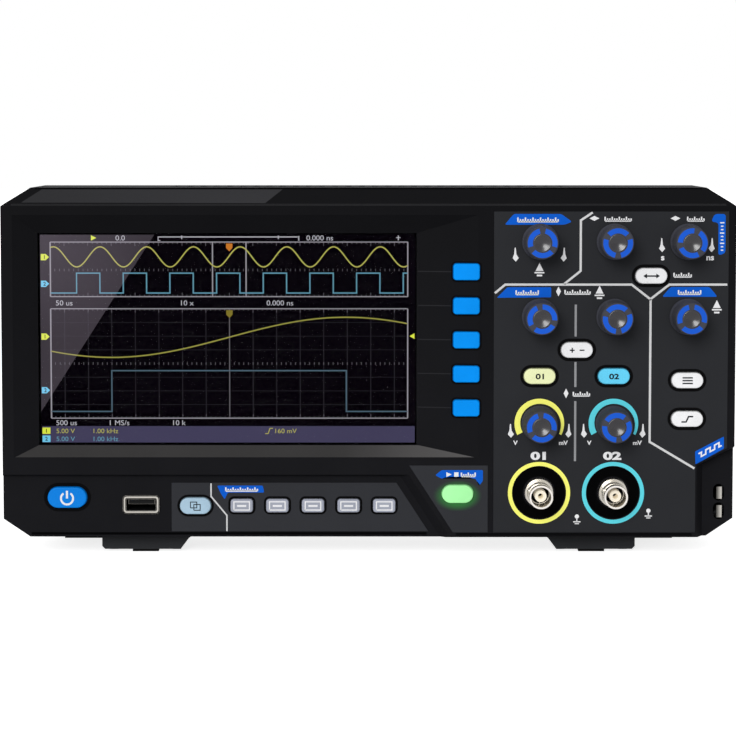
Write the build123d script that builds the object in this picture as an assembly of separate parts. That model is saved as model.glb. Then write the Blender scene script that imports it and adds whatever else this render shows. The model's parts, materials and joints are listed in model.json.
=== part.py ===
from build123d import *
import math
import os

# Bench digital oscilloscope: a wide colour display on the left, a control panel on the right,
# two input sockets, a mains-powered case with rear connectors and fold-out front legs.
# Millimetres. +X is right, -Y is the front, +Z is up. The origin is on the bench,
# under the middle of the instrument, knobs included.

# ---- Display and case, from left to right ----
LEFT_RIM = 4.8  # flat margin beside the display recess
LEFT_SLOPE = 9.9  # width of the recess's left slope
DISPLAY_W = 154.1  # active area of the 7-inch display
DISPLAY_BORDER = 0.75  # black border seen round the active area
KEY_SLOPE = 25.1  # right slope of the recess, which carries the softkeys
RUN_MARGIN = 4.1  # from the recess to the right edge of the run/stop plate
GROOVE = 2.3  # strip of bare housing between the two plates
CONTROL_W = 95.9  # control plate
RIGHT_RIM = 3.3

# ---- From the bench up ----
FOOT_H = 8.2  # bench to the underside of the case
LOWER_H = 26.1  # recessed strip with the power button and the function keys
BAND_H = 7.0  # flat band between that strip and the display recess
BOTTOM_SLOPE = 4.8
DISPLAY_H = 85.9
TOP_SLOPE = 7.6
TOP_RIM = 4.1
CROWN_RISE = 6.8  # height of the sloping top edge

# ---- From front to back ----
KNOB_REACH = 13.0  # knob faces stand this far ahead of the front plane
FRONT_SHELL = 12.0  # depth of the front housing
REAR_SHELL = 45.0  # depth of the rear housing
CROWN_RUN = 10.0  # depth of the sloping top edge
RECESS_DEPTH = 3.6  # display recess
LOWER_DEPTH = 2.5  # recessed strip
CORNER_DEPTH = 4.8  # cut-away corner with the probe terminals

# ---- Shell details ----
WALL = 2.5
CORNER_W = 11.0  # chamfered corners of the case outline
CORNER_H = 7.4
EDGE_R = 1.2  # soft front edge
REAR_CHAMFER = 5.0
SEAM = 0.5  # gap between the two housings
OUTSIDE = 12.0  # how far cutting shapes run past the case
PLATE_T = 0.5  # printed plates, set flush into the housing
PLATE_GAP = 0.1
LIP = 0.9  # wall left in front of the display window
LIP_T = 1.2  # rim of the rear housing inside the front one
LIP_REACH = 2.0
LIP_GAP = 0.2

# ---- Vents ----
VENT_W = 2.6
VENT_PITCH = 5.6
VENT_L = 34.0
VENT_COUNT = 30
VENT_RISE = 60.0  # middle of the rear vents above the bays
TOP_VENT_L = 16.0
TOP_VENT_SETBACK = 18.0  # rear face to the middle of the top vents
SIDE_VENT_COUNT = 14
SIDE_VENT_H = 3.0
SIDE_VENT_PITCH = 6.4
SIDE_VENT_SETBACK = 19.0

# ---- Display parts behind the window ----
WINDOW_MARGIN = 3.0  # window held all round behind the lip
WINDOW_T = 1.0
MODULE_SIDE = 5.45  # display module past its active area, left and right
MODULE_END = 7.0  # above and below
MODULE_T = 5.7
MODULE_GAP = 0.1
POCKET_GAP = 0.2
BRACKET_T = 0.8
BRACKET_FRAME = 18.0
RIBBON_W = 30.0
RIBBON_T = 0.3
RIBBON_SIDE = 55.0  # from the module's right edge
RIBBON_RISE = 25.0  # from its lower edge
RIBBON_TAIL = 20.0

# ---- Control layout ----
PLATE_TOP_MARGIN = 2.7  # control plate below the front plane's top edge
PLATE_BOTTOM_MARGIN = 2.2  # plates above the underside of the case
FIRST_COLUMN = 18.8  # plate's left edge to the first knob column
COLUMN_PITCH = 30.4
KNOB_COLUMN_3 = 30.0  # second knob column to the third one
MENU_COLUMN = 30.1  # second knob column to the menu keys
FIRST_ROW = 12.3  # plate's top edge to the first knob row
SECOND_ROW = 30.7
THIRD_ROW = 44.0
SOCKET_DROP = 28.7  # third knob row to the input sockets
SOFTKEY_PITCH = 14.0
SOFTKEY_INSET = 4.8  # recess's right edge to the softkeys' middle
FUNCTION_PITCH = 14.67

# ---- Keys ----
KEY_GAP = 0.25  # key to housing, each side
KEY_TRAVEL = 1.2
KEY_PROUD = 1.5
KEY_EDGE = 0.5
FLANGE = 1.0  # flange width round the key, behind the wall
FLANGE_T = 1.0
REST_GAP = 0.05  # flange to wall
RIM = 0.6  # ring of bare housing round a key in a plate
STEM_R = 1.5
CAPSULE_W = 12.9
CAPSULE_H = 6.3
SOFTKEY_W = 10.7
SOFTKEY_H = 6.7
FUNCTION_W = 9.2
FUNCTION_H = 5.5
COPY_W = 12.7
COPY_H = 6.7
POWER_W = 16.0
POWER_H = 8.5
RUN_W = 12.8
RUN_H = 7.3
KEY_CORNER = 1.3

# ---- Circuit boards ----
BOARD_T = 1.6
KEY_BOARD_SIDE = 17.5  # side of the case to the key board
KEY_BOARD_RISE = 6.0  # above the underside of the case
KEY_BOARD_STEP = 0.7  # its low arm above the strip's top edge
KEY_BOARD_COLUMN = 14.0  # its tall part, left of the recess's right edge
KEY_BOARD_DROP = 2.0  # below the control plate's top edge
BOARD_CUT = 0.5  # clearance round the sockets and the host port
MAIN_W = 176.0
BOARD_SIDE = 12.5  # side of the case to the main and supply boards
BOARD_SPACE = 7.0  # between those two boards
BOARD_RISE = 7.0  # above the underside of the case
BOARD_DROP = 10.0  # below the top of the case
STANDOFF_INSET = 5.0
CHIP_T = 1.6
# Chips of the main board: middle from its left and lower edges, and width
CHIPS = ((48, 84.8, 22), (83, 84.8, 16), (83, 56.8, 16), (123, 79.8, 18), (148, 54.8, 12), (23, 59.8, 12))
HEAT_SINK_W = 24.0  # on the first chip
HEAT_SINK_H = 6.4
HEAT_SINK_BASE = 1.6
FIN_COUNT = 7
FIN_T = 1.2
# Round parts of the supply: middle, radius and reach
CAPACITORS = ((13, 80.8, 8.0, 22), (76, 102.8, 5.0, 16), (76, 87.8, 5.0, 16))
# Square parts of the supply: left, right, low, high and reach
SUPPLY_BLOCKS = ((33, 61, 68.8, 92.8, 20), (10, 28, 50.8, 64.8, 14), (68, 71, 54.8, 76.8, 20))
KEY_BOARD_SETBACK = 9.0  # front plane to the key board
MAIN_BOARD_SETBACK = 24.0  # front plane to the main and supply boards
MAT_T = 0.7  # rubber keypads
MAT_MARGIN = 0.7  # pad past its key, each side
MAT_CORNER = 1.0
DOME_H = 0.6
DOME_R = 1.7
DOME_GAP = 0.1  # left between key and dome when the key is fully pressed

# ---- Knobs and encoders ----
SKIRT_R = 7.4
SKIRT_H = 2.5
SKIRT_STRAIGHT = 1.5  # upright part of the skirt's edge
CAP_R = 6.5
CAP_SHOULDER_R = 6.9
RING_R = 6.2  # coloured ring in the knob's face
RING_HUB_R = 3.9
RING_T = 0.8
RING_SPAN = 95.0  # degrees of each ring segment
DISH_R = 3.6
DISH_H = 0.9
SHAFT_R = 3.0
SHAFT_FLAT = 1.5  # flat of the D-shaped shaft, from its axis
SHAFT_ENTRY = 8.0  # shaft length inside the knob
SHAFT_FIT = 0.05  # radial running clearance
SHAFT_END_GAP = 1.0  # shaft's end to the board, where it doesn't push
ENCODER_W = 12.0
ENCODER_DEPTH = 6.3
ENCODER_CORNER = 0.8
BUSHING_R = 4.2
BUSHING_GAP = 0.2
PUSH_TRAVEL = 0.5
PUSH_GAP = 0.1  # left between a pressed knob and the panel
KNOB_LIFT = PUSH_TRAVEL + PUSH_GAP
PLUNGER_T = 1.4

# ---- Input sockets (bayonet, 50 ohm pattern) ----
BNC_REACH = 11.5
BNC_R = 4.83
BNC_NOSE = 4.0  # plain barrel ahead of the lugs
BNC_REAR_R = 5.05
BNC_BORE_R = 4.05
BNC_BORE_DEPTH = 9.0
BNC_COLLAR_R = 5.75
BNC_COLLAR_T = 1.5  # collar ahead of the well's floor
BNC_COLLAR_TAIL = 2.0  # and behind the wall
BNC_LUG_R = 5.5
BNC_LUG_SETBACK = 5.2
BNC_LUG_PIN_R = 1.0
BNC_LUG_TURN = -25.0  # degrees from +X to the first lug
BNC_CORE_R = 2.4
BNC_CORE_SETBACK = 3.0
BNC_PIN_R = 1.1
BNC_BLOCK = 14.0
BNC_BLOCK_GAP = 1.5  # wall to the square body
BNC_CLEAR = 0.25
WELL_R = 11.0
WELL_DEPTH = 1.0

# ---- Ports ----
USB_HOST_W = 13.2
USB_HOST_H = 5.9
USB_LIP_W = 15.1
USB_LIP_H = 7.6
USB_LIP_T = 0.8
USB_LIP_CORNER = 1.6
USB_WALL = 0.5
USB_DEPTH = 14.0
USB_TONGUE_T = 1.8
USB_TONGUE_DROP = 0.7  # below the shell's upper wall
USB_TONGUE_SIDE = 1.2
USB_TONGUE_SETBACK = 1.5
USB_DEVICE_W = 12.0
USB_DEVICE_H = 10.9
USB_DEVICE_BORE_W = 8.5
USB_DEVICE_BORE_H = 7.8
USB_DEVICE_REACH = 1.0  # ahead of the bay's floor
USB_DEVICE_DEPTH = 8.0
USB_DEVICE_TONGUE_W = 5.6
USB_DEVICE_TONGUE_H = 3.2
INLET_W = 24.2  # cavity of the three-pin mains inlet
INLET_H = 16.2
INLET_WALL = 1.8
INLET_DEPTH = 15.0
INLET_FLANGE_W = 34.0
INLET_FLANGE_H = 24.0
INLET_FLANGE_T = 2.0
INLET_FLANGE_CORNER = 2.0
INLET_CUT = 4.0  # cut lower corners of the cavity
PIN_SPREAD = 7.0
PIN_OFFSET = 2.0
PIN_W = 2.0
PIN_H = 4.0
PIN_SETBACK = 1.5
BAY_DEPTH = 13.0  # connector bays in the rear face
BAY_H = 30.0
BAY_RISE = 12.0  # bay above the underside of the case
MAINS_BAY_W = 48.0
SIGNAL_BAY_W = 76.0
BAY_MARGIN = 22.0  # bay to the side of the case
AUX_REACH = 10.5
USB_DEVICE_INSET = 20.0  # connector bay's left end to the device port
AUX_INSET = 20.0  # its right end to the trigger output
LOCK_W = 7.0  # security lock slot
LOCK_H = 3.0
LOCK_CORNER = 1.2

# ---- Shield round the input channels ----
SHIELD_T = 0.6
SHIELD_BELOW = 11.5  # past the sockets' middle
SHIELD_ABOVE = 16.0
SHIELD_DEPTH = 10.0
SHIELD_GAP = 0.3

# ---- Probe terminals ----
TERMINAL_W = 2.2
TERMINAL_H = 5.0
TERMINAL_T = 0.8
TERMINAL_PROUD = 1.2
TERMINAL_TAIL = 2.0  # behind the wall
TERMINAL_PITCH = 7.7
SLOT_W = 4.6
SLOT_H = 7.0

# ---- Feet and legs ----
LEG_INSET = 57.4  # side of the case to the middle of a leg
FOOT_SETBACK = 13.0
FOOT_W = 36.2
FOOT_TAPER = 3.4  # lean of a foot's inner edge
FOOT_SHOULDER = 2.6  # height above which the foot leans outwards again
FOOT_FLARE = 3.5
FOOT_CORNER = 1.2  # cut outer corner
FOOT_BLOCK_T = 4.4
PAD_W = 10.8
PAD_REACH = 1.05  # pad below the foot
PAD_SEAT = 1.6
PAD_INSET = 0.4
HINGE_SETBACK = 22.2
HINGE_DROP = 0.4  # barrel below the underside of the case
LEG_R = 3.4
LEG_LENGTH = 27.0
LEG_T = 4.2
LEG_CORNER = 3.0
GRIP_W = 12.0  # finger groove under the leg's end
GRIP_L = 3.5
GRIP_DEPTH = 1.2
GRIP_MARGIN = 2.5
CHEEK_W = 3.4
CHEEK_GAP = 0.4
PIN_R = 1.25
PIN_FIT = 0.05
REAR_FOOT_SIDE = 30.5  # side of the case to the middle of a rear foot
REAR_FOOT_W = 22.0
REAR_FOOT_L = 8.0
REAR_FOOT_SEAT = 1.2
REAR_FOOT_INSET = 5.5

# ---- Fasteners ----
SCREW_R = 1.45
SCREW_HEAD_R = 2.8
SCREW_HEAD_T = 1.8
CROSS_W = 3.2  # cross recess
CROSS_T = 0.8
PILOT_GAP = 0.05
POST_R = 3.4
POST_INSET = 6.3
LOW_POST_RISE = 15.8  # left post above the underside of the case
RIGHT_POST_RISE = 44.8
HIGH_POST_DROP = 9.2  # upper posts below the front plane's top edge
PILLAR_R = 2.9
HEAD_GAP = 0.3
TIP_GAP = 1.0  # hole left beyond a screw's tip
HEAD_SEAT = 3.0  # plastic under a housing screw's head
PILLAR_HOLE = 5.0
STRIP_POST_DROP = 3.3  # key board's posts below the strip's top edge
POWER_TO_POST = 14.1  # power key to the post beside it
COPY_TO_POST = 36.2  # function plate's left edge to its two posts
LAST_KEY_TO_POST = 88.0
PLATE_POST_SIDE = 3.5  # from the control plate's upper left corner
PLATE_POST_DROP = 5.0
MID_POST_DROP = 10.0  # below the first knob row
MENU_POST_SHIFT = 3.0  # right of the menu keys, below the second row
MENU_POST_DROP = 16.0
LOW_POST_DROP = 4.0  # below the third row
STANDOFF_HOLE = 9.0

# ---- Recessed strip, its plates and the cut-away corner ----
SLANT = 0.65  # sideways run of the slanted edges for each millimetre of drop
STEP_STRIP = 3.5  # floor between the function plate and the step
STEP_RUN = 4.0  # width of the slanted step
STRIP_DRAFT = 0.8  # lean of the strip's top edge
PLATE_TO_PLATE = 5.2  # function plate to run plate, along their top edges
FUNCTION_PLATE_LENGTH = 92.7  # along its top edge
FUNCTION_PLATE_MARGIN = 3.7  # below the strip's top edge
RUN_PLATE_LENGTH = 32.3  # along its top edge
RUN_PLATE_RISE = 3.8  # above the strip's top edge
CORNER_INSET = 15.7  # side of the case to the cut-away corner's edge
CORNER_RISE = 29.9  # underside of the case to the corner's top edge
CORNER_CLIMB = 0.52  # climb of its top edge for each millimetre outwards
CORNER_RUN = 3.0  # lean of its side wall
CORNER_MARGIN = 0.5  # control plate to the corner's edge
TERMINAL_INSET = 5.8  # side of the case to the terminals
TERMINAL_RISE = 14.2  # underside of the case to the terminals' middle
POWER_SHIFT = 1.775  # power key right of the middle of the strip beside the host port
USB_SHIFT = 12.5  # host port left of the function plate
COPY_SHIFT = 9.9  # copy key and first function key right of the plate's left edge
FUNCTION_SHIFT = 29.0
POWER_RISE = 16.4  # above the underside of the case
USB_RISE = 13.4
COPY_RISE = 12.9
FUNCTION_RISE = 13.0
RUN_KEY_INSET = 12.4  # from the run plate's right edge
RUN_KEY_RISE = 18.2
HORIZONTAL_MENU_DROP = 14.0  # below the first knob row
MATH_DROP = 13.7  # below the second knob row
CHANNEL_DROP = 24.5
TRIGGER_MENU_DROP = 26.2
TRIGGER_FORCE_RISE = 1.9  # above the third knob row

# ---- Places worked out from the sizes above ----
VIEW_W = DISPLAY_W + 2 * DISPLAY_BORDER
VIEW_H = DISPLAY_H + 2 * DISPLAY_BORDER
WIDTH = LEFT_RIM + LEFT_SLOPE + VIEW_W + KEY_SLOPE + RUN_MARGIN + GROOVE + CONTROL_W + RIGHT_RIM
X_LEFT = -WIDTH / 2
X_RIGHT = WIDTH / 2
RECESS_LEFT = X_LEFT + LEFT_RIM
VIEW_LEFT = RECESS_LEFT + LEFT_SLOPE
VIEW_RIGHT = VIEW_LEFT + VIEW_W
RECESS_RIGHT = VIEW_RIGHT + KEY_SLOPE
RUN_RIGHT = RECESS_RIGHT + RUN_MARGIN
LEG_SPREAD = X_RIGHT - LEG_INSET
REAR_FOOT_SPREAD = X_RIGHT - REAR_FOOT_SIDE
PLATE_LEFT = RUN_RIGHT + GROOVE
PLATE_RIGHT = PLATE_LEFT + CONTROL_W

Z_BASE = FOOT_H
Z_LOWER = Z_BASE + LOWER_H
RECESS_BOTTOM = Z_LOWER + BAND_H
VIEW_BOTTOM = RECESS_BOTTOM + BOTTOM_SLOPE
VIEW_TOP = VIEW_BOTTOM + VIEW_H
RECESS_TOP = VIEW_TOP + TOP_SLOPE
Z_FRONT_TOP = RECESS_TOP + TOP_RIM
Z_TOP = Z_FRONT_TOP + CROWN_RISE
PLATE_TOP = Z_FRONT_TOP - PLATE_TOP_MARGIN
PLATE_BOTTOM = Z_BASE + PLATE_BOTTOM_MARGIN

DEPTH = KNOB_REACH + FRONT_SHELL + REAR_SHELL
FRONT_Y = -DEPTH / 2 + KNOB_REACH
SPLIT_Y = FRONT_Y + FRONT_SHELL
REAR_Y = SPLIT_Y + REAR_SHELL
KEY_BOARD_Y = FRONT_Y + KEY_BOARD_SETBACK
MAIN_BOARD_Y = FRONT_Y + MAIN_BOARD_SETBACK
BAY_Y = REAR_Y - BAY_DEPTH
PILOT_END_Y = FRONT_Y + LOWER_DEPTH + WALL
STEM_END_Y = KEY_BOARD_Y - MAT_T - DOME_H - KEY_TRAVEL - DOME_GAP

VIEW_Z = (VIEW_BOTTOM + VIEW_TOP) / 2
COLUMN_1 = PLATE_LEFT + FIRST_COLUMN
COLUMN_2 = COLUMN_1 + COLUMN_PITCH
COLUMN_3 = COLUMN_2 + KNOB_COLUMN_3
MENU_X = COLUMN_2 + MENU_COLUMN
ROW_1 = PLATE_TOP - FIRST_ROW
ROW_2 = ROW_1 - SECOND_ROW
ROW_3 = ROW_2 - THIRD_ROW
SOCKET_Z = ROW_3 - SOCKET_DROP
SOFTKEY_X = RECESS_RIGHT - SOFTKEY_INSET
SOFTKEY_DEPTH = RECESS_DEPTH * SOFTKEY_INSET / KEY_SLOPE

# ---- Places of the strip, its plates and the cut-away corner ----
FUNCTION_PLATE_TOP = Z_LOWER - FUNCTION_PLATE_MARGIN
RUN_PLATE_TOP = Z_LOWER + RUN_PLATE_RISE
RUN_PLATE_X = RUN_RIGHT - RUN_PLATE_LENGTH
FUNCTION_PLATE_X = RUN_PLATE_X - PLATE_TO_PLATE - FUNCTION_PLATE_LENGTH
CORNER_X = X_RIGHT - CORNER_INSET
CORNER_Z = Z_BASE + CORNER_RISE
TERMINAL_X = X_RIGHT - TERMINAL_INSET
TERMINAL_Z = Z_BASE + TERMINAL_RISE
USB_X = FUNCTION_PLATE_X - USB_SHIFT
USB_Z = Z_BASE + USB_RISE
POWER_X = (X_LEFT + USB_X - USB_LIP_W / 2) / 2 + POWER_SHIFT
SOCKET_XS = (COLUMN_1, COLUMN_2)
LOWER_Y = FRONT_Y + LOWER_DEPTH
CORNER_Y = FRONT_Y + CORNER_DEPTH

# Knob name, column, row, turn of its ring at rest in degrees, and whether it also pushes in
KNOBS = (
    ("multipurpose", COLUMN_1, ROW_1, 0, True),
    ("horizontal_position", COLUMN_2, ROW_1, 60, False),
    ("horizontal_scale", COLUMN_3, ROW_1, -20, False),
    ("vertical_position_1", COLUMN_1, ROW_2, 12, True),
    ("vertical_position_2", COLUMN_2, ROW_2, -55, True),
    ("trigger_level", COLUMN_3, ROW_2, 2, True),
    ("vertical_scale_1", COLUMN_1, ROW_3, 5, False),
    ("vertical_scale_2", COLUMN_2, ROW_3, -50, False),
)


def at_y(y):
    """Upright sketch plane at depth y: its local x and y are +X and +Z."""
    return Plane(origin=(0, y, 0), x_dir=(1, 0, 0), z_dir=(0, -1, 0))


def slab(sketch, front, back):
    """A sketch made solid between two depths."""
    return extrude(at_y(back) * sketch, amount=back - front, dir=(0, -1, 0))


def taper(front_sketch, front, back_sketch, back):
    """A solid that changes from one upright sketch to another."""
    return loft([(at_y(front) * front_sketch).face(), (at_y(back) * back_sketch).face()])


def area(*points):
    """Flat shape through the given corners."""
    return Polygon(*points, align=None)


def rect(left, right, bottom, top):
    """Rectangle between two heights and two sides."""
    return Pos((left + right) / 2, (bottom + top) / 2) * Rectangle(right - left, top - bottom)


def disc(x, z, radius):
    """Circle at a place on the front."""
    return Pos(x, z) * Circle(radius)


def block(x0, x1, y0, y1, z0, z1):
    """Upright box between two corners."""
    return slab(rect(x0, x1, z0, z1), y0, y1)


def rod(x, z, radius, front, back):
    """Round bar that runs from front to back."""
    return slab(disc(x, z, radius), front, back)


def group(pieces):
    """Separate solids that share one node."""
    solids = []
    for piece in pieces:
        solids.extend(piece.solids())
    return Compound(children=solids)


def key_shape(kind, width, height, margin=0.0):
    """Face of a key, grown by a margin."""
    if kind == "capsule":
        return SlotOverall(width + 2 * margin, height + 2 * margin)
    return RectangleRounded(width + 2 * margin, height + 2 * margin, KEY_CORNER + margin)


def slanted_x(plate_x, plate_top, z):
    """Right-leaning edge: where it is at height z, from its top corner."""
    return plate_x + SLANT * (plate_top - z)


def key_table():
    """Every key: name, kind, place, size, the depth of its surroundings and of the wall's back."""
    strip_back = LOWER_Y + WALL
    panel_back = FRONT_Y + WALL
    soft_reach = SOFTKEY_INSET + SOFTKEY_W / 2 + FLANGE
    soft_back = FRONT_Y + WALL + RECESS_DEPTH * soft_reach / KEY_SLOPE
    keys = []
    for i in range(5):
        z = VIEW_Z + (2 - i) * SOFTKEY_PITCH
        keys.append((f"softkey_{i + 1}", "block", SOFTKEY_X, z, SOFTKEY_W, SOFTKEY_H,
                     FRONT_Y + SOFTKEY_DEPTH, soft_back))
    keys.append(("power_button", "capsule", POWER_X, Z_BASE + POWER_RISE,
                 POWER_W, POWER_H, LOWER_Y, strip_back))
    keys.append(("copy_button", "capsule", FUNCTION_PLATE_X + COPY_SHIFT, Z_BASE + COPY_RISE,
                 COPY_W, COPY_H, LOWER_Y, strip_back))
    for i in range(5):
        x = FUNCTION_PLATE_X + FUNCTION_SHIFT + i * FUNCTION_PITCH
        keys.append((f"function_key_{i + 1}", "block", x, Z_BASE + FUNCTION_RISE,
                     FUNCTION_W, FUNCTION_H, LOWER_Y, strip_back))
    keys.append(("run_stop_button", "capsule", RUN_RIGHT - RUN_KEY_INSET, Z_BASE + RUN_KEY_RISE,
                 RUN_W, RUN_H, FRONT_Y, panel_back))
    panel_keys = (
        ("horizontal_menu_button", (COLUMN_2 + MENU_X) / 2, ROW_1 - HORIZONTAL_MENU_DROP),
        ("math_button", (COLUMN_1 + COLUMN_2) / 2, ROW_2 - MATH_DROP),
        ("channel_1_button", COLUMN_1, ROW_2 - CHANNEL_DROP),
        ("channel_2_button", COLUMN_2, ROW_2 - CHANNEL_DROP),
        ("trigger_menu_button", MENU_X, ROW_2 - TRIGGER_MENU_DROP),
        ("trigger_force_button", MENU_X, ROW_3 + TRIGGER_FORCE_RISE),
    )
    for name, x, z in panel_keys:
        keys.append((name, "capsule", x, z, CAPSULE_W, CAPSULE_H, FRONT_Y, panel_back))
    return keys


KEYS = key_table()


def case_outline(inset=0.0):
    """Front view of the case: a rectangle with four cut corners."""
    left = X_LEFT + inset
    right = X_RIGHT - inset
    low = Z_BASE + inset
    high = Z_TOP - inset
    return area(
        (left, low + CORNER_H), (left + CORNER_W, low), (right - CORNER_W, low), (right, low + CORNER_H),
        (right, high - CORNER_H), (right - CORNER_W, high), (left + CORNER_W, high), (left, high - CORNER_H),
    )


def above_crown(drop=0.0):
    """Everything above the sloping top edge, lowered by the wall's thickness."""
    climb = CROWN_RISE / CROWN_RUN
    lift = Z_FRONT_TOP - drop * math.hypot(1, climb)
    far = CROWN_RUN + OUTSIDE
    profile = Plane.YZ * area(
        (FRONT_Y - OUTSIDE, lift - climb * OUTSIDE), (FRONT_Y + far, lift + climb * far),
        (FRONT_Y - OUTSIDE, lift + climb * far))
    return extrude(profile, amount=WIDTH, both=True)


def case_solid(inset=0.0, chamfered=True):
    """Solid of the whole case, or of its cavity when it is inset by the wall."""
    solid = slab(case_outline(inset), FRONT_Y + inset, REAR_Y - inset) - above_crown(inset)
    if chamfered:
        solid = chamfer(solid.faces().sort_by(Axis.Y)[-1].edges(), REAR_CHAMFER)
    return solid


def strip_areas():
    """Mouth and floor of the recessed strip; both run past the case on the left and below."""
    plate_edge = FUNCTION_PLATE_X + FUNCTION_PLATE_LENGTH
    low = Z_BASE - OUTSIDE
    shapes = []
    for reach, top in ((STEP_STRIP + STEP_RUN, Z_LOWER), (STEP_STRIP, Z_LOWER - STRIP_DRAFT)):
        edge = plate_edge + reach
        shapes.append(area(
            (X_LEFT - OUTSIDE, low), (slanted_x(edge, FUNCTION_PLATE_TOP, low), low),
            (slanted_x(edge, FUNCTION_PLATE_TOP, top), top), (X_LEFT - OUTSIDE, top)))
    return shapes


def corner_area(shift):
    """Cut-away corner for the probe terminals, moved outwards by its side wall's lean."""
    left = CORNER_X + shift
    right = X_RIGHT + OUTSIDE
    low = Z_BASE - OUTSIDE
    high = CORNER_Z + CORNER_CLIMB * (right - left)
    return area((left, low), (right, low), (right, high), (left, CORNER_Z))


def recess_areas():
    """Mouth of the display recess and the opening at its floor."""
    mouth = rect(RECESS_LEFT, RECESS_RIGHT, RECESS_BOTTOM, RECESS_TOP)
    view = rect(VIEW_LEFT, VIEW_RIGHT, VIEW_BOTTOM, VIEW_TOP)
    return mouth, view


# ---- Places of the display parts ----
WINDOW_Y = FRONT_Y + RECESS_DEPTH + LIP
MODULE_Y = WINDOW_Y + WINDOW_T + MODULE_GAP
BRACKET_Y = MODULE_Y + MODULE_T
MODULE_AREA = (VIEW_LEFT - MODULE_SIDE + DISPLAY_BORDER, VIEW_RIGHT + MODULE_SIDE - DISPLAY_BORDER,
               VIEW_BOTTOM - MODULE_END + DISPLAY_BORDER, VIEW_TOP + MODULE_END - DISPLAY_BORDER)
WINDOW_AREA = (VIEW_LEFT - WINDOW_MARGIN, VIEW_RIGHT + WINDOW_MARGIN,
               VIEW_BOTTOM - WINDOW_MARGIN, VIEW_TOP + WINDOW_MARGIN)


def grown(bounds, margin):
    """Rectangle of four bounds, grown on every side."""
    left, right, bottom, top = bounds
    return rect(left - margin, right + margin, bottom - margin, top + margin)


# ---- Screw posts and board posts ----
HIGH_POST_Z = Z_FRONT_TOP - HIGH_POST_DROP
POSTS = ((X_LEFT + POST_INSET, Z_BASE + LOW_POST_RISE), (X_RIGHT - POST_INSET, Z_BASE + RIGHT_POST_RISE),
         (X_LEFT + POST_INSET, HIGH_POST_Z), (X_RIGHT - POST_INSET, HIGH_POST_Z))
STRIP_POST_Z = Z_LOWER - STRIP_POST_DROP
MID_COLUMN = (COLUMN_1 + COLUMN_2) / 2
KEY_PILLARS = ((POWER_X + POWER_TO_POST, STRIP_POST_Z), (FUNCTION_PLATE_X + COPY_TO_POST, STRIP_POST_Z),
               (FUNCTION_PLATE_X + LAST_KEY_TO_POST, STRIP_POST_Z),
               (PLATE_LEFT + PLATE_POST_SIDE, PLATE_TOP - PLATE_POST_DROP),
               (MID_COLUMN, ROW_1 - MID_POST_DROP), (MENU_X + MENU_POST_SHIFT, ROW_2 - MENU_POST_DROP),
               (COLUMN_2 + COLUMN_PITCH / 2, ROW_3 - LOW_POST_DROP))
MAIN_RIGHT = X_RIGHT - BOARD_SIDE
MAIN_LEFT = MAIN_RIGHT - MAIN_W
SUPPLY_LEFT = X_LEFT + BOARD_SIDE
SUPPLY_RIGHT = MAIN_LEFT - BOARD_SPACE
BOARD_LOW = Z_BASE + BOARD_RISE
BOARD_HIGH = Z_TOP - BOARD_DROP
MAIN_STANDOFFS = tuple((x, z) for x in (MAIN_LEFT + STANDOFF_INSET, MAIN_RIGHT - STANDOFF_INSET)
                       for z in (BOARD_LOW + STANDOFF_INSET, BOARD_HIGH - STANDOFF_INSET))
SUPPLY_STANDOFFS = tuple((x, z) for x in (SUPPLY_LEFT + STANDOFF_INSET, SUPPLY_RIGHT - STANDOFF_INSET)
                         for z in (BOARD_LOW + STANDOFF_INSET, BOARD_HIGH - STANDOFF_INSET))


def plate_areas():
    """Outlines of the control, function and run/stop plates."""
    corner_left = CORNER_X - CORNER_MARGIN
    climb = CORNER_CLIMB * (PLATE_RIGHT - corner_left)
    corner_low = CORNER_Z + CORNER_MARGIN
    control = area((PLATE_LEFT, PLATE_BOTTOM), (corner_left, PLATE_BOTTOM), (corner_left, corner_low),
                   (PLATE_RIGHT, corner_low + climb), (PLATE_RIGHT, PLATE_TOP), (PLATE_LEFT, PLATE_TOP))
    edge = FUNCTION_PLATE_X + FUNCTION_PLATE_LENGTH
    function = area((FUNCTION_PLATE_X, PLATE_BOTTOM),
                    (slanted_x(edge, FUNCTION_PLATE_TOP, PLATE_BOTTOM), PLATE_BOTTOM),
                    (edge, FUNCTION_PLATE_TOP), (FUNCTION_PLATE_X, FUNCTION_PLATE_TOP))
    run = area((slanted_x(RUN_PLATE_X, RUN_PLATE_TOP, PLATE_BOTTOM), PLATE_BOTTOM),
               (RUN_RIGHT, PLATE_BOTTOM), (RUN_RIGHT, RUN_PLATE_TOP), (RUN_PLATE_X, RUN_PLATE_TOP))
    return {"control_plate": (control, FRONT_Y), "function_plate": (function, LOWER_Y),
            "run_stop_plate": (run, FRONT_Y)}


def key_holes(margin):
    """Holes for every key, as one flat shape."""
    return Sketch() + [Pos(x, z) * key_shape(kind, w, h, margin) for _, kind, x, z, w, h, _, _ in KEYS]


def knob_holes(radius):
    """Holes for the encoders' bushings."""
    return Sketch() + [disc(x, z, radius) for _, x, z, _, _ in KNOBS]


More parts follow.
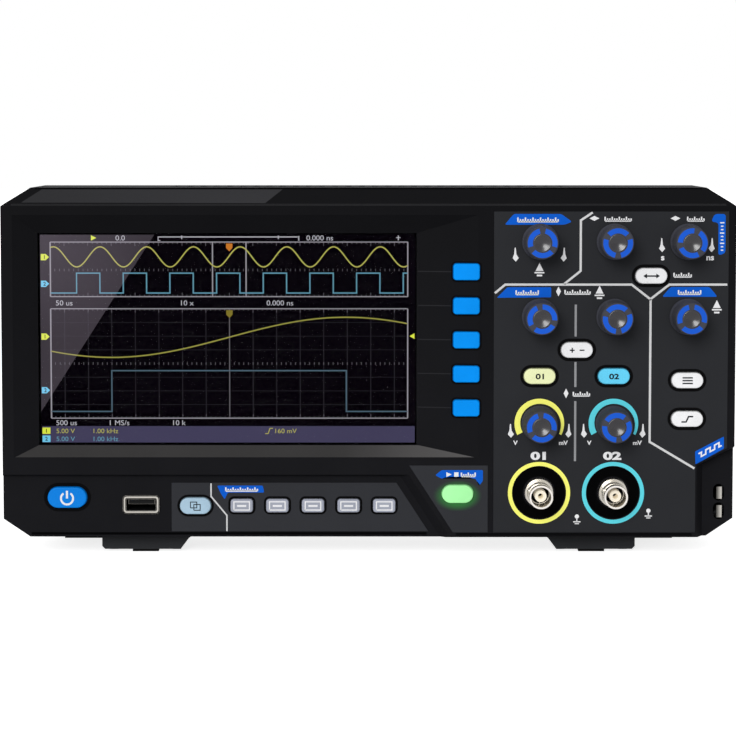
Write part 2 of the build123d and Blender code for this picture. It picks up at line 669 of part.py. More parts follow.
def front_housing():
    """Front shell: crown, display recess, control panel wall, strip and probe corner."""
    mouth, view = recess_areas()
    strip_mouth, strip_floor = strip_areas()
    front_part = slab(rect(X_LEFT - OUTSIDE, X_RIGHT + OUTSIDE, 0, Z_TOP + OUTSIDE),
                      FRONT_Y - OUTSIDE, SPLIT_Y - SEAM / 2)
    body = case_solid(chamfered=False)
    body = fillet(body.faces().sort_by(Axis.Y)[0].edges(), EDGE_R)
    outer = body & front_part
    cavity = case_solid(WALL, chamfered=False) & front_part
    backing = [
        taper(mouth, FRONT_Y + WALL - 0.01, view, FRONT_Y + WALL + RECESS_DEPTH),
        slab(strip_mouth, FRONT_Y, LOWER_Y + WALL),
        slab(corner_area(-WALL), FRONT_Y, CORNER_Y + WALL),
    ]
    posts = [rod(x, z, POST_R, FRONT_Y + WALL / 2, SPLIT_Y - SEAM / 2) for x, z in POSTS]
    pillars = [rod(x, z, PILLAR_R, FRONT_Y + WALL / 2, KEY_BOARD_Y) for x, z in KEY_PILLARS]
    shell = outer - cavity
    shell = shell + [piece & outer for piece in backing + posts + pillars]
    shell -= taper(mouth, FRONT_Y, view, FRONT_Y + RECESS_DEPTH)
    shell -= slab(view, FRONT_Y, SPLIT_Y)
    shell -= slab(grown(WINDOW_AREA, POCKET_GAP), WINDOW_Y, SPLIT_Y)
    shell -= slab(grown(MODULE_AREA, POCKET_GAP), MODULE_Y - MODULE_GAP, SPLIT_Y)
    shell -= taper(strip_mouth, FRONT_Y, strip_floor, LOWER_Y)
    shell -= taper(corner_area(0), FRONT_Y, corner_area(CORNER_RUN), CORNER_Y)
    for shape, face in plate_areas().values():
        shell -= slab(offset(shape, PLATE_GAP), face, face + PLATE_T)
    shell -= slab(key_holes(KEY_GAP), FRONT_Y - OUTSIDE, KEY_BOARD_Y)
    shell -= slab(knob_holes(BUSHING_R + BUSHING_GAP), FRONT_Y - OUTSIDE, FRONT_Y + WALL * 2)
    for x in SOCKET_XS:
        shell -= rod(x, SOCKET_Z, WELL_R, FRONT_Y - OUTSIDE, FRONT_Y + WELL_DEPTH)
        shell -= rod(x, SOCKET_Z, BNC_COLLAR_R + BNC_CLEAR, FRONT_Y, FRONT_Y + WALL * 2)
    shell -= slab(Pos(USB_X, USB_Z) * Rectangle(USB_HOST_W + 2 * KEY_GAP, USB_HOST_H + 2 * KEY_GAP),
                  FRONT_Y, KEY_BOARD_Y)
    for z in terminal_heights():
        slot = Pos(TERMINAL_X, z) * SlotOverall(SLOT_H, SLOT_W, rotation=90)
        shell -= slab(slot, CORNER_Y - OUTSIDE, CORNER_Y + WALL * 2)
    for x, z in POSTS:
        shell -= rod(x, z, SCREW_R + PILOT_GAP, PILOT_END_Y, SPLIT_Y)
    for x, z in KEY_PILLARS:
        shell -= rod(x, z, SCREW_R + PILOT_GAP, KEY_BOARD_Y - PILLAR_HOLE, KEY_BOARD_Y)
    return shell


def terminal_heights():
    """Heights of the two probe terminals' middles."""
    return (TERMINAL_Z + TERMINAL_PITCH / 2, TERMINAL_Z - TERMINAL_PITCH / 2)


# ---- Rear housing ----
MAINS_BAY = (X_LEFT + BAY_MARGIN, X_LEFT + BAY_MARGIN + MAINS_BAY_W)
SIGNAL_BAY = (X_RIGHT - BAY_MARGIN - SIGNAL_BAY_W, X_RIGHT - BAY_MARGIN)
BAY_LOW = Z_BASE + BAY_RISE
BAY_HIGH = BAY_LOW + BAY_H
BAY_Z = (BAY_LOW + BAY_HIGH) / 2
INLET_X = sum(MAINS_BAY) / 2
USB_DEVICE_X = SIGNAL_BAY[0] + USB_DEVICE_INSET
AUX_X = SIGNAL_BAY[1] - AUX_INSET
LOCK_X = (USB_DEVICE_X + AUX_X) / 2
TOP_VENT_Y = REAR_Y - TOP_VENT_SETBACK
SIDE_VENT_Y = REAR_Y - SIDE_VENT_SETBACK
HINGE_Y = FRONT_Y + HINGE_SETBACK
HINGE_Z = Z_BASE - LEG_R - HINGE_DROP
FOOT_Y = FRONT_Y + FOOT_SETBACK
FOOT_LOW = PAD_REACH
HINGE_W = FOOT_W - 2 * FOOT_TAPER  # over the cheeks


def foot_outline(side):
    """Front view of a front foot: upright outside, leaning inside."""
    inner = -side * FOOT_W / 2
    outer = side * FOOT_W / 2
    flared = inner - side * FOOT_FLARE
    seat = Z_BASE + WALL / 2
    return area((outer, seat), (outer, FOOT_LOW + FOOT_CORNER), (outer - side * FOOT_CORNER, FOOT_LOW),
                (inner + side * FOOT_TAPER, FOOT_LOW), (inner, Z_BASE - FOOT_SHOULDER),
                (flared, Z_BASE), (flared, seat))


def foot_blocks():
    """Fixed front feet with the cheeks that carry the legs' hinge pins."""
    blocks = []
    for side in (-1, 1):
        middle = side * LEG_SPREAD
        blocks.append(slab(Pos(middle, 0) * foot_outline(side), FOOT_Y, FOOT_Y + FOOT_BLOCK_T))
        for end in (-1, 1):
            x0 = middle + end * (HINGE_W / 2 - CHEEK_W)
            x1 = middle + end * HINGE_W / 2
            left, right = min(x0, x1), max(x0, x1)
            cheek = block(left, right, FOOT_Y, HINGE_Y, HINGE_Z - LEG_R, Z_BASE + WALL / 2)
            cheek += block(left, right, FOOT_Y, HINGE_Y + LEG_R, HINGE_Z, Z_BASE + WALL / 2)
            cheek += x_rod(left, right, LEG_R)
            blocks.append(cheek)
    return blocks


def x_rod(left, right, radius):
    """Round bar along a leg's hinge axis."""
    plane = Plane(origin=(left, HINGE_Y, HINGE_Z), x_dir=(0, 1, 0), z_dir=(1, 0, 0))
    return extrude(plane * Circle(radius), amount=right - left)


def vent_slots():
    """Air slots through the rear face, the top and both sides."""
    slots = []
    start = -(VENT_COUNT - 1) / 2 * VENT_PITCH
    for i in range(VENT_COUNT):
        x = start + i * VENT_PITCH
        shape = Pos(x, BAY_HIGH + VENT_RISE) * SlotOverall(VENT_L, VENT_W, rotation=90)
        slots.append(slab(shape, REAR_Y - WALL * 2, REAR_Y + WALL))
        top = Pos(x, TOP_VENT_Y) * SlotOverall(TOP_VENT_L, VENT_W, rotation=90)
        slots.append(extrude(Pos(0, 0, Z_TOP - WALL * 2) * top, amount=WALL * 3))
    for i in range(SIDE_VENT_COUNT):
        z = BAY_HIGH + i * SIDE_VENT_PITCH
        shape = Plane.YZ * (Pos(SIDE_VENT_Y, z) * SlotOverall(TOP_VENT_L, SIDE_VENT_H))
        slots.append(extrude(Pos(X_LEFT - WALL, 0, 0) * shape, amount=WALL * 3))
        slots.append(extrude(Pos(X_RIGHT - WALL * 2, 0, 0) * shape, amount=WALL * 3))
    return slots


def rear_housing():
    """Rear shell with connector bays, vents, screw posts, standoffs and the front feet."""
    rear_part = block(X_LEFT - OUTSIDE, X_RIGHT + OUTSIDE, SPLIT_Y + SEAM / 2, REAR_Y + OUTSIDE,
                      -OUTSIDE, Z_TOP + OUTSIDE)
    outer = case_solid() & rear_part
    cavity = case_solid(WALL, chamfered=True) & rear_part
    shell = outer - cavity
    rim_back = SPLIT_Y + LIP_REACH + WALL
    rim = slab(case_outline(WALL + LIP_GAP), SPLIT_Y - LIP_REACH, rim_back)
    rim -= slab(case_outline(WALL + LIP_GAP + LIP_T), SPLIT_Y - OUTSIDE, SPLIT_Y + OUTSIDE)
    rim -= above_crown(WALL + LIP_GAP)
    rim = rim - [rod(x, z, POST_R + LIP_GAP, SPLIT_Y - OUTSIDE, SPLIT_Y) for x, z in POSTS]
    collar = slab(case_outline(WALL / 2), SPLIT_Y + SEAM / 2, rim_back)
    collar -= slab(case_outline(WALL + LIP_GAP + LIP_T), SPLIT_Y - OUTSIDE, SPLIT_Y + OUTSIDE)
    shell = shell + [rim, collar]
    for left, right in (MAINS_BAY, SIGNAL_BAY):
        bay = rect(left, right, BAY_LOW, BAY_HIGH)
        walls = rect(left - WALL, right + WALL, BAY_LOW - WALL, BAY_HIGH + WALL)
        shell += slab(walls, BAY_Y - WALL, REAR_Y - WALL / 2)
        shell -= slab(bay, BAY_Y, REAR_Y + OUTSIDE)
    shell = shell + [rod(x, z, POST_R, SPLIT_Y + SEAM / 2, REAR_Y - WALL / 2) for x, z in POSTS]
    standoffs = [rod(x, z, PILLAR_R, MAIN_BOARD_Y + BOARD_T, rear_face_behind(x, z))
                 for x, z in MAIN_STANDOFFS + SUPPLY_STANDOFFS]
    shell = shell + standoffs
    shell = shell + foot_blocks()
    shell = shell - vent_slots()
    bay_holes = Pos(INLET_X, BAY_Z) * inlet_body(INLET_WALL + KEY_GAP)
    bay_holes += Pos(USB_DEVICE_X, BAY_Z) * Rectangle(USB_DEVICE_W + 2 * KEY_GAP, USB_DEVICE_H + 2 * KEY_GAP)
    bay_holes += disc(AUX_X, BAY_Z, BNC_COLLAR_R + BNC_CLEAR)
    bay_holes += Pos(LOCK_X, BAY_Z) * RectangleRounded(LOCK_W, LOCK_H, LOCK_CORNER)
    shell -= slab(bay_holes, BAY_Y - WALL * 2, BAY_Y + WALL)
    for x, z in POSTS:
        shell -= rod(x, z, SCREW_R + PILOT_GAP, SPLIT_Y - OUTSIDE, REAR_Y + OUTSIDE)
        shell -= rod(x, z, SCREW_HEAD_R + HEAD_GAP, SPLIT_Y + HEAD_SEAT, REAR_Y + OUTSIDE)
    board_back = MAIN_BOARD_Y + BOARD_T
    for x, z in MAIN_STANDOFFS + SUPPLY_STANDOFFS:
        shell -= rod(x, z, SCREW_R + PILOT_GAP, board_back, board_back + STANDOFF_HOLE)
    for side in (-1, 1):
        middle = side * LEG_SPREAD
        shell -= x_rod(middle - FOOT_W, middle + FOOT_W, PIN_R + PIN_FIT)
        shell -= block(middle - PAD_W / 2, middle + PAD_W / 2, FOOT_Y + PAD_INSET,
                       FOOT_Y + FOOT_BLOCK_T - PAD_INSET, 0, PAD_REACH + PAD_SEAT)
        shell -= rear_foot(side)
    return shell


def rear_face_behind(x, z):
    """How far back a standoff runs: to the bay floor or to the rear wall."""
    bays = [bay for bay in (MAINS_BAY, SIGNAL_BAY) if bay[0] - WALL <= x <= bay[1] + WALL]
    if bays and BAY_LOW - WALL <= z <= BAY_HIGH + WALL:
        return BAY_Y - WALL / 2
    return REAR_Y - WALL / 2


def inlet_body(margin):
    """Rear view of the mains inlet: a rectangle with two cut lower corners."""
    half_w = INLET_W / 2 + margin
    half_h = INLET_H / 2 + margin
    cut_x = half_w - INLET_CUT
    cut_z = INLET_CUT - half_h
    return area((-half_w, half_h), (half_w, half_h), (half_w, cut_z), (cut_x, -half_h),
                (-cut_x, -half_h), (-half_w, cut_z))


def rear_foot(side):
    """Rubber foot let into the underside near the back."""
    middle = side * REAR_FOOT_SPREAD
    back = REAR_Y - REAR_FOOT_INSET
    return block(middle - REAR_FOOT_W / 2, middle + REAR_FOOT_W / 2, back - REAR_FOOT_L, back,
                 0, Z_BASE + REAR_FOOT_SEAT)


def plates():
    """Printed plates with holes for the keys, bushings and sockets."""
    holes = key_holes(RIM) + knob_holes(BUSHING_R + RIM)
    holes += Sketch() + [disc(x, SOCKET_Z, WELL_R) for x in SOCKET_XS]
    return {name: slab(shape - holes, face, face + PLATE_T) for name, (shape, face) in plate_areas().items()}


def display_parts():
    """Window, display module, its bracket and the ribbon to the main board."""
    _, right, bottom, _ = MODULE_AREA
    bracket = slab(grown(MODULE_AREA, 0), BRACKET_Y, BRACKET_Y + BRACKET_T)
    bracket -= slab(grown(MODULE_AREA, -BRACKET_FRAME), BRACKET_Y, BRACKET_Y + BRACKET_T)
    x = right - RIBBON_SIDE
    z = bottom + RIBBON_RISE
    ribbon = block(x, x + RIBBON_W, BRACKET_Y, BRACKET_Y + RIBBON_T, z, z + RIBBON_TAIL)
    ribbon += block(x, x + RIBBON_W, BRACKET_Y, MAIN_BOARD_Y, z, z + RIBBON_T)
    return {
        "display_window": slab(grown(WINDOW_AREA, 0), WINDOW_Y, WINDOW_Y + WINDOW_T),
        "display_module": slab(grown(MODULE_AREA, 0), MODULE_Y, MODULE_Y + MODULE_T),
        "display_bracket": bracket,
        "display_ribbon": ribbon,
    }


def key_solid(kind, x, z, width, height, face, wall_back):
    """Key with its cap, the flange behind the wall and the stem above its dome."""
    place = Pos(x, z)
    flange_front = wall_back + REST_GAP
    cap = slab(place * key_shape(kind, width, height), face - KEY_PROUD, flange_front)
    cap = fillet(cap.faces().sort_by(Axis.Y)[0].edges(), KEY_EDGE)
    flange = slab(place * key_shape(kind, width, height, FLANGE), flange_front, flange_front + FLANGE_T)
    stem = slab(place * Circle(STEM_R), flange_front, STEM_END_Y)
    return cap + flange + stem


def keypad_mats():
    """Rubber domes under every key, on mats that lie on the key board."""
    front = KEY_BOARD_Y - MAT_T
    mats = []
    for _, _, x, z, width, height, _, _ in KEYS:
        pad = RectangleRounded(width + 2 * MAT_MARGIN, height + 2 * MAT_MARGIN, MAT_CORNER)
        mats.append(slab(Pos(x, z) * pad, front, KEY_BOARD_Y) + rod(x, z, DOME_R, front - DOME_H, front))
    return group(mats)


def board(outline, y):
    """Circuit board whose front face is at depth y."""
    return slab(outline, y, y + BOARD_T)


def key_board():
    """Board that carries the keypads and the encoders."""
    low = Z_BASE + KEY_BOARD_RISE
    socket_cut = Rectangle(BNC_BLOCK + 2 * BOARD_CUT, BNC_BLOCK + 2 * BOARD_CUT)
    outline = rect(X_LEFT + KEY_BOARD_SIDE, MAIN_RIGHT, low, Z_LOWER + KEY_BOARD_STEP)
    outline += rect(RECESS_RIGHT - KEY_BOARD_COLUMN, MAIN_RIGHT, low, PLATE_TOP - KEY_BOARD_DROP)
    outline -= Sketch() + [Pos(x, SOCKET_Z) * socket_cut for x in SOCKET_XS]
    outline -= Pos(USB_X, USB_Z) * Rectangle(USB_HOST_W + 2 * BOARD_CUT, USB_HOST_H + 2 * BOARD_CUT)
    outline -= Sketch() + [disc(x, z, SCREW_R + PILOT_GAP) for x, z in KEY_PILLARS]
    return board(outline, KEY_BOARD_Y)


def rotary_encoders():
    """Encoder bodies with threaded bushings, standing on the key board."""
    bodies = []
    for _, x, z, _, _ in KNOBS:
        case = Pos(x, z) * RectangleRounded(ENCODER_W, ENCODER_W, ENCODER_CORNER)
        base = slab(case, KEY_BOARD_Y - ENCODER_DEPTH, KEY_BOARD_Y)
        bushing = rod(x, z, BUSHING_R, FRONT_Y, KEY_BOARD_Y - ENCODER_DEPTH)
        bore = rod(x, z, SHAFT_R + SHAFT_FIT, FRONT_Y - OUTSIDE, KEY_BOARD_Y)
        bodies.append(base + bushing - bore)
    return group(bodies)


def shaft_section():
    """D-shaped end of an encoder shaft."""
    return Circle(SHAFT_R) & Pos(0, SHAFT_FLAT - SHAFT_R) * Rectangle(SHAFT_R * 3, SHAFT_R * 2)


def knob(x, z, turn, pushes):
    """Knob with a skirt, a tapering grip, a three-part coloured ring, a finger dish and its shaft."""
    face = FRONT_Y - KNOB_REACH
    base = FRONT_Y - KNOB_LIFT
    reach = base - face
    profile = area((0, 0), (SKIRT_R, 0), (SKIRT_R, SKIRT_STRAIGHT), (CAP_SHOULDER_R, SKIRT_H),
                   (CAP_R, reach - KEY_EDGE), (CAP_R - KEY_EDGE, reach), (0, reach))
    grip = revolve(Plane.XZ * profile, Axis.Z)
    dish_ball_r = (DISH_R ** 2 + DISH_H ** 2) / (2 * DISH_H)
    grip -= Pos(0, 0, reach - DISH_H + dish_ball_r) * Sphere(dish_ball_r)
    half = math.radians(RING_SPAN / 2)
    across = OUTSIDE * math.sin(half)
    up = OUTSIDE * math.cos(half)
    wedge = area((0, 0), (-across, up), (0, OUTSIDE / math.cos(half)), (across, up))
    segment = (Circle(RING_R) - Circle(RING_HUB_R)) & wedge
    inserts = [extrude(Pos(0, 0, reach - RING_T) * (Rot(0, 0, 60 + 120 * i) * segment), amount=RING_T)
               for i in range(3)]
    grip = grip - inserts
    grip -= extrude(shaft_section(), amount=SHAFT_ENTRY)
    back = KEY_BOARD_Y - PUSH_TRAVEL - PLUNGER_T - 2 * REST_GAP if pushes else KEY_BOARD_Y - SHAFT_END_GAP
    shaft = extrude(shaft_section(), amount=SHAFT_ENTRY)
    shaft += extrude(Circle(SHAFT_R), amount=-(back - base))
    turned = [Rot(0, 0, turn) * piece for piece in [grip, shaft] + inserts]
    return group([Pos(x, base, z) * (Rot(90, 0, 0) * piece) for piece in turned])


def push_plunger(x, z):
    """Switch plunger inside a push encoder, behind the shaft."""
    back = KEY_BOARD_Y - PUSH_TRAVEL - REST_GAP
    return rod(x, z, SHAFT_R, back - PLUNGER_T, back)


def bnc_shell(x, z, panel, reach, back):
    """Bayonet socket: hollow barrel with two lugs, a collar in the panel and a square body."""
    front = panel - reach
    collar_front = panel + WELL_DEPTH - BNC_COLLAR_T
    shell = rod(x, z, BNC_R, front, front + BNC_NOSE)
    shell += rod(x, z, BNC_REAR_R, front + BNC_NOSE, collar_front)
    shell += rod(x, z, BNC_COLLAR_R, collar_front, panel + WALL + BNC_COLLAR_TAIL)
    shell += block(x - BNC_BLOCK / 2, x + BNC_BLOCK / 2, panel + WALL + BNC_BLOCK_GAP, back,
                   z - BNC_BLOCK / 2, z + BNC_BLOCK / 2)
    lug_plane = Plane(origin=(x, front + BNC_LUG_SETBACK, z), x_dir=(0, 1, 0),
                      z_dir=(math.cos(math.radians(BNC_LUG_TURN)), 0, math.sin(math.radians(BNC_LUG_TURN))))
    shell += extrude(lug_plane * Circle(BNC_LUG_PIN_R), amount=BNC_LUG_R, both=True)
    shell -= rod(x, z, BNC_BORE_R, front - OUTSIDE, front + BNC_BORE_DEPTH)
    return shell


def bnc_core(x, z, panel, reach):
    """Insulator round the centre contact, inside the barrel."""
    front = panel - reach
    core = rod(x, z, BNC_CORE_R, front + BNC_CORE_SETBACK, front + BNC_BORE_DEPTH)
    return core - rod(x, z, BNC_PIN_R, front, front + BNC_BORE_DEPTH)


def usb_host_port():
    """Host port: thin metal shell with a turned lip, and the contact tongue inside."""
    back = LOWER_Y + USB_DEPTH
    lip_shape = Pos(USB_X, USB_Z) * RectangleRounded(USB_LIP_W, USB_LIP_H, USB_LIP_CORNER)
    lip = slab(lip_shape, LOWER_Y - USB_LIP_T, LOWER_Y)
    shell = lip + slab(Pos(USB_X, USB_Z) * Rectangle(USB_HOST_W, USB_HOST_H), LOWER_Y, back)
    bore = Rectangle(USB_HOST_W - 2 * USB_WALL, USB_HOST_H - 2 * USB_WALL)
    shell -= slab(Pos(USB_X, USB_Z) * bore, LOWER_Y - OUTSIDE, back - USB_WALL)
    tongue_high = USB_Z + USB_HOST_H / 2 - USB_WALL - USB_TONGUE_DROP
    tongue_half = USB_HOST_W / 2 - USB_TONGUE_SIDE
    tongue = block(USB_X - tongue_half, USB_X + tongue_half, LOWER_Y + USB_TONGUE_SETBACK, back - USB_WALL,
                   tongue_high - USB_TONGUE_T, tongue_high)
    return group([shell, tongue])


def mains_inlet():
    """Three-pin appliance inlet, screwed flange outside and body inside the case."""
    front = BAY_Y - INLET_DEPTH
    shape = Pos(INLET_X, BAY_Z)
    body = slab(shape * inlet_body(INLET_WALL), front, BAY_Y)
    flange = RectangleRounded(INLET_FLANGE_W, INLET_FLANGE_H, INLET_FLANGE_CORNER)
    body += slab(shape * flange, BAY_Y, BAY_Y + INLET_FLANGE_T)
    body -= slab(shape * inlet_body(0), front + INLET_WALL, BAY_Y + WALL)
    pins = []
    for x, z in ((-PIN_SPREAD, -PIN_OFFSET), (PIN_SPREAD, -PIN_OFFSET), (0, PIN_OFFSET)):
        pin = Pos(INLET_X + x, BAY_Z + z) * Rectangle(PIN_W, PIN_H)
        pins.append(slab(pin, front + INLET_WALL, BAY_Y - PIN_SETBACK))
    return group([body] + pins)


def usb_device_port():
    """Square device port in the rear bay, with its contact block."""
    back = MAIN_BOARD_Y + BOARD_T
    front = BAY_Y - USB_DEVICE_DEPTH
    place = Pos(USB_DEVICE_X, BAY_Z)
    shell = slab(place * Rectangle(USB_DEVICE_W, USB_DEVICE_H), back, BAY_Y + USB_DEVICE_REACH)
    shell -= slab(place * Rectangle(USB_DEVICE_BORE_W, USB_DEVICE_BORE_H), front, BAY_Y + OUTSIDE)
    tongue = Rectangle(USB_DEVICE_TONGUE_W, USB_DEVICE_TONGUE_H)
    return group([shell, slab(place * tongue, front, BAY_Y - PIN_SETBACK)])


def aux_output_socket():
    """Trigger output socket in the rear bay: an input socket turned to face backwards."""
    panel_back = MAIN_BOARD_Y + BOARD_T - BAY_Y
    shell = bnc_shell(0, 0, 0, AUX_REACH, -panel_back)
    core = bnc_core(0, 0, 0, AUX_REACH)
    return group([Pos(AUX_X, BAY_Y, BAY_Z) * (Rot(0, 0, 180) * piece) for piece in (shell, core)])


def input_shield():
    """Metal can round the two input channels' front ends, open towards the board."""
    left = COLUMN_1 - BNC_BLOCK
    right = COLUMN_2 + BNC_BLOCK
    low = SOCKET_Z - SHIELD_BELOW
    high = SOCKET_Z + SHIELD_ABOVE
    front = MAIN_BOARD_Y - SHIELD_DEPTH
    inner_front = front + SHIELD_T
    can = block(left, right, front, MAIN_BOARD_Y, low, high)
    can -= block(left + SHIELD_T, right - SHIELD_T, inner_front, MAIN_BOARD_Y,
                 low + SHIELD_T, high - SHIELD_T)
    hole = Rectangle(BNC_BLOCK + 2 * SHIELD_GAP, BNC_BLOCK + 2 * SHIELD_GAP)
    for x in SOCKET_XS:
        can -= slab(Pos(x, SOCKET_Z) * hole, front, inner_front)
    return can


def main_board():
    """Main board with its processor, memory, converters and a finned heat sink."""
    outline = rect(MAIN_LEFT, MAIN_RIGHT, BOARD_LOW, BOARD_HIGH)
    outline -= Sketch() + [disc(x, z, SCREW_R + PILOT_GAP) for x, z in MAIN_STANDOFFS]
    pieces = [board(outline, MAIN_BOARD_Y)]
    chip_y = MAIN_BOARD_Y - CHIP_T
    for across, up, size in CHIPS:
        x = MAIN_LEFT + across
        z = BOARD_LOW + up
        pieces.append(block(x - size / 2, x + size / 2, chip_y, MAIN_BOARD_Y, z - size / 2, z + size / 2))
    left = MAIN_LEFT + CHIPS[0][0] - HEAT_SINK_W / 2
    low = BOARD_LOW + CHIPS[0][1] - HEAT_SINK_W / 2
    high = low + HEAT_SINK_W
    fin_pitch = (HEAT_SINK_W - FIN_T) / (FIN_COUNT - 1)
    heat_sink = block(left, left + HEAT_SINK_W, chip_y - HEAT_SINK_BASE, chip_y, low, high)
    for i in range(FIN_COUNT):
        fin_left = left + fin_pitch * i
        heat_sink += block(fin_left, fin_left + FIN_T, chip_y - HEAT_SINK_H, chip_y, low, high)
    return group(pieces + [heat_sink])


def supply_board():
    """Mains power supply: board, capacitors, transformer, choke and heat sink."""
    outline = rect(SUPPLY_LEFT, SUPPLY_RIGHT, BOARD_LOW, BOARD_HIGH)
    outline -= Sketch() + [disc(x, z, SCREW_R + PILOT_GAP) for x, z in SUPPLY_STANDOFFS]
    back = MAIN_BOARD_Y + BOARD_T
    pieces = [board(outline, MAIN_BOARD_Y)]
    for across, up, radius, height in CAPACITORS:
        pieces.append(rod(SUPPLY_LEFT + across, BOARD_LOW + up, radius, back, back + height))
    for left, right, low, high, height in SUPPLY_BLOCKS:
        pieces.append(block(SUPPLY_LEFT + left, SUPPLY_LEFT + right, back, back + height,
                            BOARD_LOW + low, BOARD_LOW + high))
    return group(pieces)


def probe_terminals():
    """Two sprung metal tabs in the corner's slots, each bent back into the case."""
    tabs = []
    left = TERMINAL_X - TERMINAL_W / 2
    right = TERMINAL_X + TERMINAL_W / 2
    front = CORNER_Y - TERMINAL_PROUD
    for z in terminal_heights():
        low = z - TERMINAL_H / 2
        tab = block(left, right, front, front + TERMINAL_T, low, low + TERMINAL_H)
        tab += block(left, right, front, CORNER_Y + WALL + TERMINAL_TAIL, low, low + TERMINAL_T)
        tabs.append(tab)
    return group(tabs)


def screw(x, z, seat, length, points_forward=True):
    """Pan-head screw whose head rests on the face at depth seat."""
    way = -1 if points_forward else 1
    head = sorted((seat, seat - way * SCREW_HEAD_T))
    shank = sorted((seat, seat + way * length))
    piece = rod(x, z, SCREW_HEAD_R, *head) + rod(x, z, SCREW_R, *shank)
    slot_edge = seat - way * SCREW_HEAD_T
    slot = sorted((slot_edge, slot_edge + way * CROSS_T))
    for turn in (0, 90):
        cross = Pos(x, z) * Rectangle(CROSS_W, CROSS_T, rotation=turn)
        piece -= slab(cross, *slot)
    return piece


def screws():
    """Four housing screws, and the screws of the key, main and supply boards."""
    seat = SPLIT_Y + HEAD_SEAT
    pieces = [screw(x, z, seat, seat - PILOT_END_Y - TIP_GAP) for x, z in POSTS]
    pieces += [screw(x, z, KEY_BOARD_Y + BOARD_T, BOARD_T + PILLAR_HOLE - TIP_GAP) for x, z in KEY_PILLARS]
    pieces += [screw(x, z, MAIN_BOARD_Y, BOARD_T + STANDOFF_HOLE - TIP_GAP, False)
               for x, z in MAIN_STANDOFFS + SUPPLY_STANDOFFS]
    return group(pieces)


def tilt_leg(side):
    """Fold-out leg: a barrel on the hinge pin and a flat leg that lies back under the case."""
    middle = side * LEG_SPREAD
    half = HINGE_W / 2 - CHEEK_W - CHEEK_GAP
    left, right = middle - half, middle + half
    low = HINGE_Z - LEG_R
    leg = x_rod(left, right, LEG_R)
    leg += block(left, right, HINGE_Y, HINGE_Y + LEG_LENGTH, low, low + LEG_T)
    leg = fillet(leg.faces().sort_by(Axis.Y)[-1].edges().filter_by(Axis.Z), LEG_CORNER)
    grip_back = HINGE_Y + LEG_LENGTH - GRIP_MARGIN
    grip = block(middle - GRIP_W / 2, middle + GRIP_W / 2, grip_back - GRIP_L, grip_back,
                 low - GRIP_DEPTH, low + GRIP_DEPTH)
    return leg - grip - x_rod(left - CHEEK_W, right + CHEEK_W, PIN_R + PIN_FIT)


def hinge_pins():
    """Steel pins of the two legs."""
    half = HINGE_W / 2
    return group([x_rod(side * LEG_SPREAD - half, side * LEG_SPREAD + half, PIN_R) for side in (-1, 1)])


def foot_pads():
    """Rubber pads under the front feet."""
    return group([block(side * LEG_SPREAD - PAD_W / 2, side * LEG_SPREAD + PAD_W / 2, FOOT_Y + PAD_INSET,
                        FOOT_Y + FOOT_BLOCK_T - PAD_INSET, 0, PAD_REACH + PAD_SEAT) for side in (-1, 1)])


def build():
    """Every node of the oscilloscope by name."""
    nodes = {"front_housing": front_housing(), "rear_housing": rear_housing()}
    nodes.update(plates())
    nodes.update(display_parts())
    for name, kind, x, z, width, height, face, wall_back in KEYS:
        nodes[name] = key_solid(kind, x, z, width, height, face, wall_back)
    for name, x, z, turn, pushes in KNOBS:
        nodes[f"knob_{name}"] = knob(x, z, turn, pushes)
        if pushes:
            nodes[f"plunger_{name}"] = push_plunger(x, z)
    nodes["keypad_mats"] = keypad_mats()
    nodes["key_board"] = key_board()
    nodes["rotary_encoders"] = rotary_encoders()
    nodes["main_board"] = main_board()
    nodes["input_shield"] = input_shield()
    nodes["supply_board"] = supply_board()
    nodes["input_sockets"] = group([bnc_shell(x, SOCKET_Z, FRONT_Y, BNC_REACH, MAIN_BOARD_Y)
                                    for x in SOCKET_XS])
    nodes["socket_insulators"] = group([bnc_core(x, SOCKET_Z, FRONT_Y, BNC_REACH) for x in SOCKET_XS])
    nodes["usb_host_port"] = usb_host_port()
    nodes["mains_inlet"] = mains_inlet()
    nodes["usb_device_port"] = usb_device_port()
    nodes["aux_output_socket"] = aux_output_socket()
    nodes["probe_terminals"] = probe_terminals()
    nodes["screws"] = screws()
    nodes["tilt_leg_left"] = tilt_leg(-1)
    nodes["tilt_leg_right"] = tilt_leg(1)
    nodes["hinge_pins"] = hinge_pins()
    nodes["foot_pads"] = foot_pads()
    nodes["rear_feet"] = group([rear_foot(-1), rear_foot(1)])
    return nodes


os.makedirs("parts", exist_ok=True)
for node_name, node_shape in build().items():
    export_step(node_shape, f"parts/{node_name}.step")
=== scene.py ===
import json
import math

import bmesh
import bpy
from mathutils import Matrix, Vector
from mathutils.bvhtree import BVHTree


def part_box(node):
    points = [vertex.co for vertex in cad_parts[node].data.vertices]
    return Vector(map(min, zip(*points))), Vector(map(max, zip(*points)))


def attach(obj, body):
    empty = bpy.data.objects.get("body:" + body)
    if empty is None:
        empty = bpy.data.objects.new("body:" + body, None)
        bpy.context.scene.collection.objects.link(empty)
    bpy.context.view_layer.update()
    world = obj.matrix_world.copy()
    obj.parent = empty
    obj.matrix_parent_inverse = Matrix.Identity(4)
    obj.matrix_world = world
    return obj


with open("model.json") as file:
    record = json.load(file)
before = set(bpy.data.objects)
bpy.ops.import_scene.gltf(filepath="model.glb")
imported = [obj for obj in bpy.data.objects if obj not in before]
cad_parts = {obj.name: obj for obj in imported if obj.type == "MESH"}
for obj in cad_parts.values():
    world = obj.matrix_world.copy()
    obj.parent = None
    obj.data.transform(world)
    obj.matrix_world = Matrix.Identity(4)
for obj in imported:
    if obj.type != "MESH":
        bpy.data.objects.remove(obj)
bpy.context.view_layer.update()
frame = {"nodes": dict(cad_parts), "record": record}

MM = 0.001

